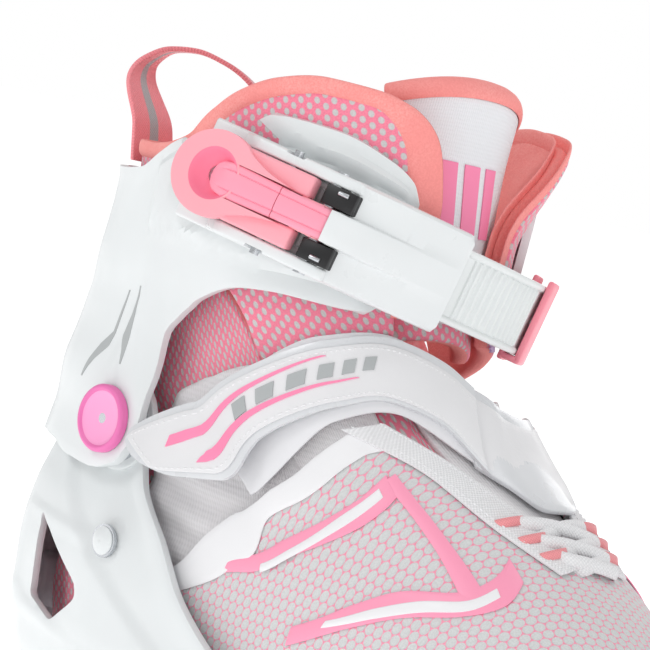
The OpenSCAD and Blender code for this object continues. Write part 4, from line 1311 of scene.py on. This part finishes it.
def sole_outline(height, off, x0, x1, step=4):
    points = [skin(a, height, off) for a in range(-180, 180, step)]
    return [(min(max(p.x, x0), x1), p.y) for p in points]


def sole_slab(name, height, off, x0, x1, z0, z1, round_by):
    points = []
    for x, y in sole_outline(height, off, x0, x1, 3):
        if not points or math.hypot(x - points[-1][0], y - points[-1][1]) > 0.05:
            points.append((x, y))
    slab = prism(name, points, z0, z1)
    return rounded(slab, round_by, 3, 30)


toe_sole = sole_slab("toe_sole_board", 62, 3, 30, 200, 62, 67.2, 1.0)
edge_inner = sole_slab("toe_sole_top", 69, -2, 30, 200, 66.5, 69.6, 0.4)
cut(toe_sole, block("rack_slot", (50, -14, 60), (110, -6, 64.6)))
toe_sole = joined("toe_sole_board", toe_sole, edge_inner)
dress(toe_sole, "sole", "forefoot", "sole_plastic", "toe_sole")

# ---- Eyestays, laces and their loops ----
STAY = [(54, 169, 40, 173.4), (36, 163, 26, 167.3), (25, 152.5, 13, 158.4), (15, 145.5, 3, 148.5)]
STAY_PATH = through(STAY)


def stay_place(side):
    def place(u, v):
        a0, z0, a1, z1 = STAY_PATH(u if side < 0 else 1 - u)
        return skin(side * lerp(a0, a1, v), lerp(z0, z1, v), 1.7 + 0.5 * math.sin(math.pi * v))
    return place


for side, word in ((-1, "lateral"), (1, "medial")):
    stay = grid("lace_stay_" + word, 60, 8, stay_place(side))
    wall(stay, 1.3, 1.0)
    rounded(stay, 0.4, 2)
    dress(stay, "stay", "forefoot", "white_ribbon", "eyestay_" + word, angle=0)
    for row in (0.16, 0.84):
        stitches("stay_stitching_%s_%d" % (word, row * 100),
                 lambda t, s=side, r=row: Vector(stay_place(s)(t, r)) + Vector((0.7, s * 0.3, 1.2)),
                 40, "forefoot", slot="white_ribbon")

LACE_T = [0.66, 0.77, 0.88]


def stay_mid(t):
    a0, z0, a1, z1 = STAY_PATH(t)
    return (a0 + a1) / 2, (z0 + z1) / 2


def lace_point(t, side, s, lift):
    a_far, z_far = stay_mid(min(t + 0.14, 1))
    a_near, z_near = stay_mid(t)
    a = side * lerp(-a_far, a_near, s)
    z = lerp(z_far, z_near, s) + 9 * (1 - t) * (1 - (2 * s - 1) ** 2)
    return skin(a, z, lift)


LACE_SECTION = [(-2.3, 0), (-1.8, 0.9), (0, 1.25), (1.8, 0.9), (2.3, 0), (1.8, -0.8), (0, -1.0),
                (-1.8, -0.8), (-2.3, 0)]
laces = []
for t in LACE_T:
    for side, lift in ((1, 4.8), (-1, 6.8)):
        def lace_path(s, t=t, side=side, lift=lift):
            s = lerp(-0.04, 1.04, s)
            d = 0.01
            point = lace_point(t, side, s, lift - 5.5 * abs(2 * s - 1) ** 5)
            along = lace_point(t, side, s + d, lift) - lace_point(t, side, s - d, lift)
            along.normalize()
            out = (lace_point(t, side, s, lift + 2) - lace_point(t, side, s, lift)
                   + Vector((0, 0, 1.5)))
            out = (out - along * out.dot(along)).normalized()
            return point, along.cross(out).normalized(), out
        laces.append(sweep("lace", lace_path, LACE_SECTION, 40))
lace = joined("lace_crossings", *laces)
edit(lace, weld)
edit(lace, outwards)
dress(lace, "lace", "forefoot", "white_lace", "laces", angle=0)

loops = []
for t in LACE_T:
    for side in (-1, 1):
        a, z = stay_mid(t)
        def loop_path(s, a=a, z=z, side=side):
            turn = math.pi * s
            base = skin(side * (a + 5), z - 1, 3.2)
            tip = skin(side * (a - 6), z + 1.5, 5.0)
            out = (skin(side * a, z, 4) - skin(side * a, z, 0) + Vector((0, 0, 2))).normalized()
            point = base.lerp(tip, 0.5 - 0.5 * math.cos(turn)) + out * 2.2 * math.sin(turn)
            wide = (tip - base).cross(out).normalized()
            return point, wide, out
        loops.append(sweep("lace_loop", loop_path, [(-1.4, 0), (1.4, 0)], 14))
loop_tapes = joined("lace_loop_tapes", *loops)
wall(loop_tapes, 0.8, 1.0)
dress(loop_tapes, "lace_loop", "forefoot", "coral_loop", "lace_loops", angle=0)

# ---- Buckle. TOP has x along the strap, y across it and z as the height over the cuff ----
TOP = BUCKLE @ Matrix.Rotation(math.radians(90), 4, "X")
TOP_INV = TOP.inverted()
AXLE_X, AXLE_H = 17, 6.2
SIDE_TOP = curve([(15, 71.6), (18, 70.8), (22, 69.6), (30, 67.4), (42, 65.6), (55, 64.8)])
MID_TOP = curve([(15, 74.0), (18, 73.3), (22, 72.0), (30, 68.9), (40, 66.2), (55, 64.9)])


def both_ways(piece, name):
    """Joins a piece with its mirror image across the buckle's middle."""
    return joined(name, piece, copied(piece, name + "_twin", MIRROR))


def arc_block(name, r0, r1, z0, z1, f0, f1, round_by=0.5):
    """A curved bar about the strap's arc, between two radii and two angles."""
    count = max(round((f1 - f0) / 2.5), 2)
    points = []
    for r, order in ((r1, range(count + 1)), (r0, range(count, -1, -1))):
        for i in order:
            a = math.radians(lerp(f0, f1, i / count))
            points.append((r * math.sin(a), -r * math.cos(a)))
    return placed(rounded(prism(name, points, z0, z1), round_by, 2, 40), STRAP)


# Housing: seat plate, side rails with sloping rear ends, and the cover over the ladder
RAIL = [(-21.5, -1), (-20.5, 2.6), (-15.5, 7.4), (-12.5, 8.6), (21, 8.7), (25.5, 7.6), (25.5, -1)]
rail = prism("rail", [(x, -h) for x, h in RAIL], 12.2, 16.0)
rounded(rail, 0.9, 3, 20)
cut(rail, block("pin_slot", (-2.6, -9.2, 15.1), (4.2, -3.8, 16.6), 0.5))
rail = joined("rail", rail, copied(rail, "rail_twin", Matrix.Diagonal((1, 1, -1, 1))))
rail.data.transform(BUCKLE)
seat = block("seat", (-34, 0.1, -16.5), (-3.5, 2.4, 16.5), 0.9, 3)
seat.data.transform(BUCKLE)
COVER_ACROSS = [(-16.3, 0), (-16.3, 0.5), (-16.0, 0.85), (-15.2, 0.99), (-13.8, 1), (-12.4, 1),
                (-9, 1), (-5.6, 1), (-5.0, 2), (-4.4, 2.1), (-2, 2.15)]
COVER_ACROSS += [(0, 2.17)] + [(-z, k) for z, k in COVER_ACROSS[::-1]]


def cover_place(v, i):
    z, k = COVER_ACROSS[i]
    start = 16.6 if abs(z) <= 5.3 else (20.8 if abs(z) < 12.3 else 18.5)
    f = lerp(start, 55.5 - 0.8 * (abs(z) > 15), v)
    low = 59.5
    if k <= 1:
        r = lerp(low, SIDE_TOP(f), k)
    else:
        r = lerp(SIDE_TOP(f), MID_TOP(f), k - 1)
    return on_arc(f, r - 0.5 * max(v - 0.96, 0) / 0.04, z)


cover = grid("cover", 44, len(COVER_ACROSS) - 1,
             lambda u, v: cover_place(u, round(v * (len(COVER_ACROSS) - 1))))
wall(cover, 1.5)
rounded(cover, 0.4, 3, 50)
housing = joined("buckle_housing", cover, rail, seat,
                 arc_block("floor_strip", 56.8, 59.1, -15.4, 15.4, 20, 55))
dress(housing, "rail", "cuff", "white_plastic", "buckle_base", "strap_guide", angle=32)

# Lever: dished ring, shoulders that flow into the bar, and low side arms round the axle
RING_X, RING_R = -20.5, 14.4
outline = [(RING_X + RING_R * math.cos(math.radians(a)), 0.94 * RING_R * math.sin(math.radians(a)))
           for a in range(48, 313, 6)]
flow = curve([(-11, 10.1), (-8, 8.8), (-4, 7.4), (0, 6.5), (5, 5.7), (12, 5.1), (20, 4.8)])
SHOULDER = [x for x in (-11, -9.5, -8, -6, -4, -2, 0, 3, 6, 10)]
outline += [(x, -flow(x)) for x in SHOULDER] + [(x, flow(x)) for x in SHOULDER[::-1]]
ring = prism("ring", outline, 9.2, 12.5)
rounded(ring, 1.1, 4, 30)
cut(ring, drum("dish_tool", (RING_X, 0, 11), (0, 0, 1), 8.3, 4),
    block("bar_tool", (-20, -5.6, 8), (12, 5.6, 14)))
DISH = [(3.1, 9.0), (4.3, 9.2), (5.7, 9.9), (6.9, 11.0), (7.7, 12.0), (8.3, 12.45), (9.0, 12.3),
        (9.0, 8.9), (6, 8.0), (3.3, 8.0), (3.1, 8.3), (3.1, 9.0)]
dish = lathe("dish", DISH, (RING_X, 0, 0), (0, 0, 1), 72)
arm = joined("arm", block("arm_side", (-14, 5.0, 4.9), (11.2, 11.8, 10.4), 1.1, 4),
             block("arm_fork", (9, 3.2, 4.4), (17.5, 5.2, 10.0), 0.5, 3),
             drum("arm_eye", (AXLE_X, 4.2, AXLE_H), (0, 1, 0), 3.2, 1.1, 0.4, 40))
arms = both_ways(arm, "arms")
BAR_ACROSS = [(-1, -2.2), (-1, -0.5), (-0.9, -0.1), (-0.72, 0), (-0.62, -0.05), (-0.56, -0.4),
              (-0.5, 0.05), (-0.3, 0.22)]
BAR_ACROSS += [(0, 0.3)] + [(-k, h) for k, h in BAR_ACROSS[::-1]]
BAR_HALF = curve([(-22, 1.0), (-21.6, 2.6), (-20.6, 4.0), (-18.6, 5.0), (-14, 5.5), (-6, 5.3),
                  (4, 5.0), (21, 4.6)])
BAR_TOP = curve([(-22, 10.0), (-20, 10.9), (-16, 12.0), (-11, 12.4), (0, 12.4), (14, 12.1),
                 (17.5, 12.0), (19.5, 11.4), (20.8, 10.4)])


def bar_piece(name, x0, x1, cols):
    def place(u, v):
        x = lerp(x0, x1, u)
        k, h = BAR_ACROSS[round(v * (len(BAR_ACROSS) - 1))]
        fade = smooth(x, -21, -15)
        return x, BAR_HALF(x) * k, BAR_TOP(x) + (h if h < -0.45 else h * fade)
    piece = grid(name, cols, len(BAR_ACROSS) - 1, place)
    wall(piece, 1.3)
    return rounded(piece, 0.25, 2, 50)


lever = joined("buckle_lever_arm", placed(ring, TOP), placed(dish, TOP), placed(arms, TOP),
               placed(bar_piece("bar_end", 3.2, 20.8, 30), TOP))
# Faces of the dish take the darker pink of painted shade; the bar's top takes the trigger's pink
for face in lever.data.polygons:
    spot = TOP_INV @ face.center / MM
    if math.hypot(spot.x - RING_X, spot.y) < 8 and 8.9 < spot.z < 12.3 and spot.x < -12:
        face.material_index = 1
    elif spot.x > 3 and abs(spot.y) < 5.3 and spot.z > 10.6:
        face.material_index = 2
dress(lever, ["lever", "dish", "bar"], "lever", "pink_plastic", "buckle_lever", angle=35)
tongue_bar = bar_piece("trigger_bar", -22, 2.9, 46)
stem = block("trigger_stem", (-8.6, -4.6, 7.2), (-5.4, 4.6, 11.4), 0.6)
trigger = placed(joined("release_trigger_bar", tongue_bar, stem), TOP)
dress(trigger, "bar", "trigger", "pink_plastic", "release_trigger", angle=35)

# Holding pawl: black cheeks each side of the bar's end, joined by the tooth below
cheek = joined("cheek", block("cheek_low", (14.0, 5.7, 3.8), (26.0, 12.0, 7.6), 0.4),
               block("cheek_top", (15.6, 5.7, 6.8), (26.0, 12.0, 9.3), 0.4))
cheeks = both_ways(cheek, "cheeks")
tooth = block("pawl_tooth", (20.6, -11.6, 0.3), (22.2, 11.6, 5.4), 0.3)
pawl = placed(joined("holding_pawl_cheeks", cheeks, tooth), TOP)
dress(pawl, "black", "holding_pawl", "black_plastic", "holding_pawl")
glint = both_ways(drum("pawl_pin", (21.4, 10.4, 9.2), (1, 0, 0), 0.75, 1.9, 0.3, 16), "pawl_pins")
dress(placed(glint, TOP), "steel", "holding_pawl", "bright_steel", angle=35)

# Ladder strap: raised rims, cross ribs, and a plain run beside the cover
LADDER_ACROSS = [(-12, 0), (-11.8, 0.8), (-11.2, 1.1), (-10.4, 1.1), (-9.9, 0.7), (-9.6, 0.1),
                 (-9.2, 0), (-4.5, 0)]
LADDER_ACROSS += [(0, 0)] + [(-z, h) for z, h in LADDER_ACROSS[::-1]]


def ladder_place(u, v):
    f = lerp(-4, 113, u)
    z, rise = LADDER_ACROSS[round(v * (len(LADDER_ACROSS) - 1))]
    z *= 1 - 0.06 * smooth(f, 104, 113)
    if abs(z) < 9.3 and (f < 48 or 60 < f < 96):
        wave = (f % 2.9) / 2.9
        rise = 0.95 * smooth(wave, 0.05, 0.35) * (1 - smooth(wave, 0.55, 0.95))
    return on_arc(f, 61.4 + rise, z)


ladder = grid("ladder_strap_band", 400, len(LADDER_ACROSS) - 1, ladder_place)
wall(ladder, 1.9)
rounded(ladder, 0.3, 2, 60)
dress(ladder, "ladder", "ladder", "white_plastic", "ladder_strap", angle=40)
anchor = joined("ladder_anchor",
                arc_block("anchor_face", 62.7, 64.9, -14.2, 14.2, 98, 117, 0.8),
                arc_block("anchor_back", 57.3, 59.2, -15, 14.2, 98, 117, 0.7),
                arc_block("anchor_side", 57.6, 64.6, -14.4, -12.3, 98, 117, 0.7))
dress(anchor, "anchor", "ladder", "pink_plastic", "strap_anchor")

# ---- Blade holder and sole plate ----
PROFILE = [(-112, 18), (150, 18), (150, 29), (140, 31.5), (112, 33), (105, 46), (110, 50),
           (46, 50), (51, 45), (45, 34), (30, 31.5), (-30, 31.5), (-46, 34), (-53, 46), (-48, 50),
           (-94, 50), (-89, 44), (-95, 34), (-112, 30)]
holder = prism("holder_rail", [(x, z) for x, z in PROFILE], -6, 6)
holder.data.transform(Matrix.Rotation(math.radians(90), 4, "X"))
for vertex in holder.data.vertices:
    vertex.co.y *= 1 + 0.5 * smooth(vertex.co.z / MM, 33, 46)
rounded(holder, 1.4, 3, 20)
cut(holder, block("blade_slot", (-130, -1.55, 10), (170, 1.55, 27)))
plates = []
for x0, x1 in ((-94, -46), (48, 108)):
    plates.append(block("holder_foot", (x0, -28, 49.6), (x1, 28, 54), 1.8, 4))
holder = joined("holder_moulding", holder, *plates)
dress(holder, "shell", "skate", "holder_plastic", "blade_holder", angle=32)


# ---- CAD pieces whose shape is kept get their finishes ----
KEPT = {
    "steel": ("pivot_bolts", "pivot_washers", "shell_rivets", "buckle_rivets", "lever_axle",
              "lock_pin", "pawl_spring", "trigger_pin", "trigger_spring", "drive_pin",
              "drive_spring", "anchor_rivet", "blade_bolts", "holder_screws", "pivot_nuts",
              "button_spring"),
    "blade": ("blade",),
    "sole": ("sole_plate", "heel_wedge"),
    "shell": ("rivet_domes",),
    "black": ("drive_pawl",),
    "lining": ("footbed",),
    "rack": ("size_rack",),
    "bar": ("size_button",),
}
for finish, nodes in KEPT.items():
    for node in nodes:
        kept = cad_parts[node]
        for slot_index in range(max(len(kept.material_slots), 1)):
            if kept.material_slots:
                kept.material_slots[slot_index].material = M[finish]
            else:
                kept.data.materials.append(M[finish])
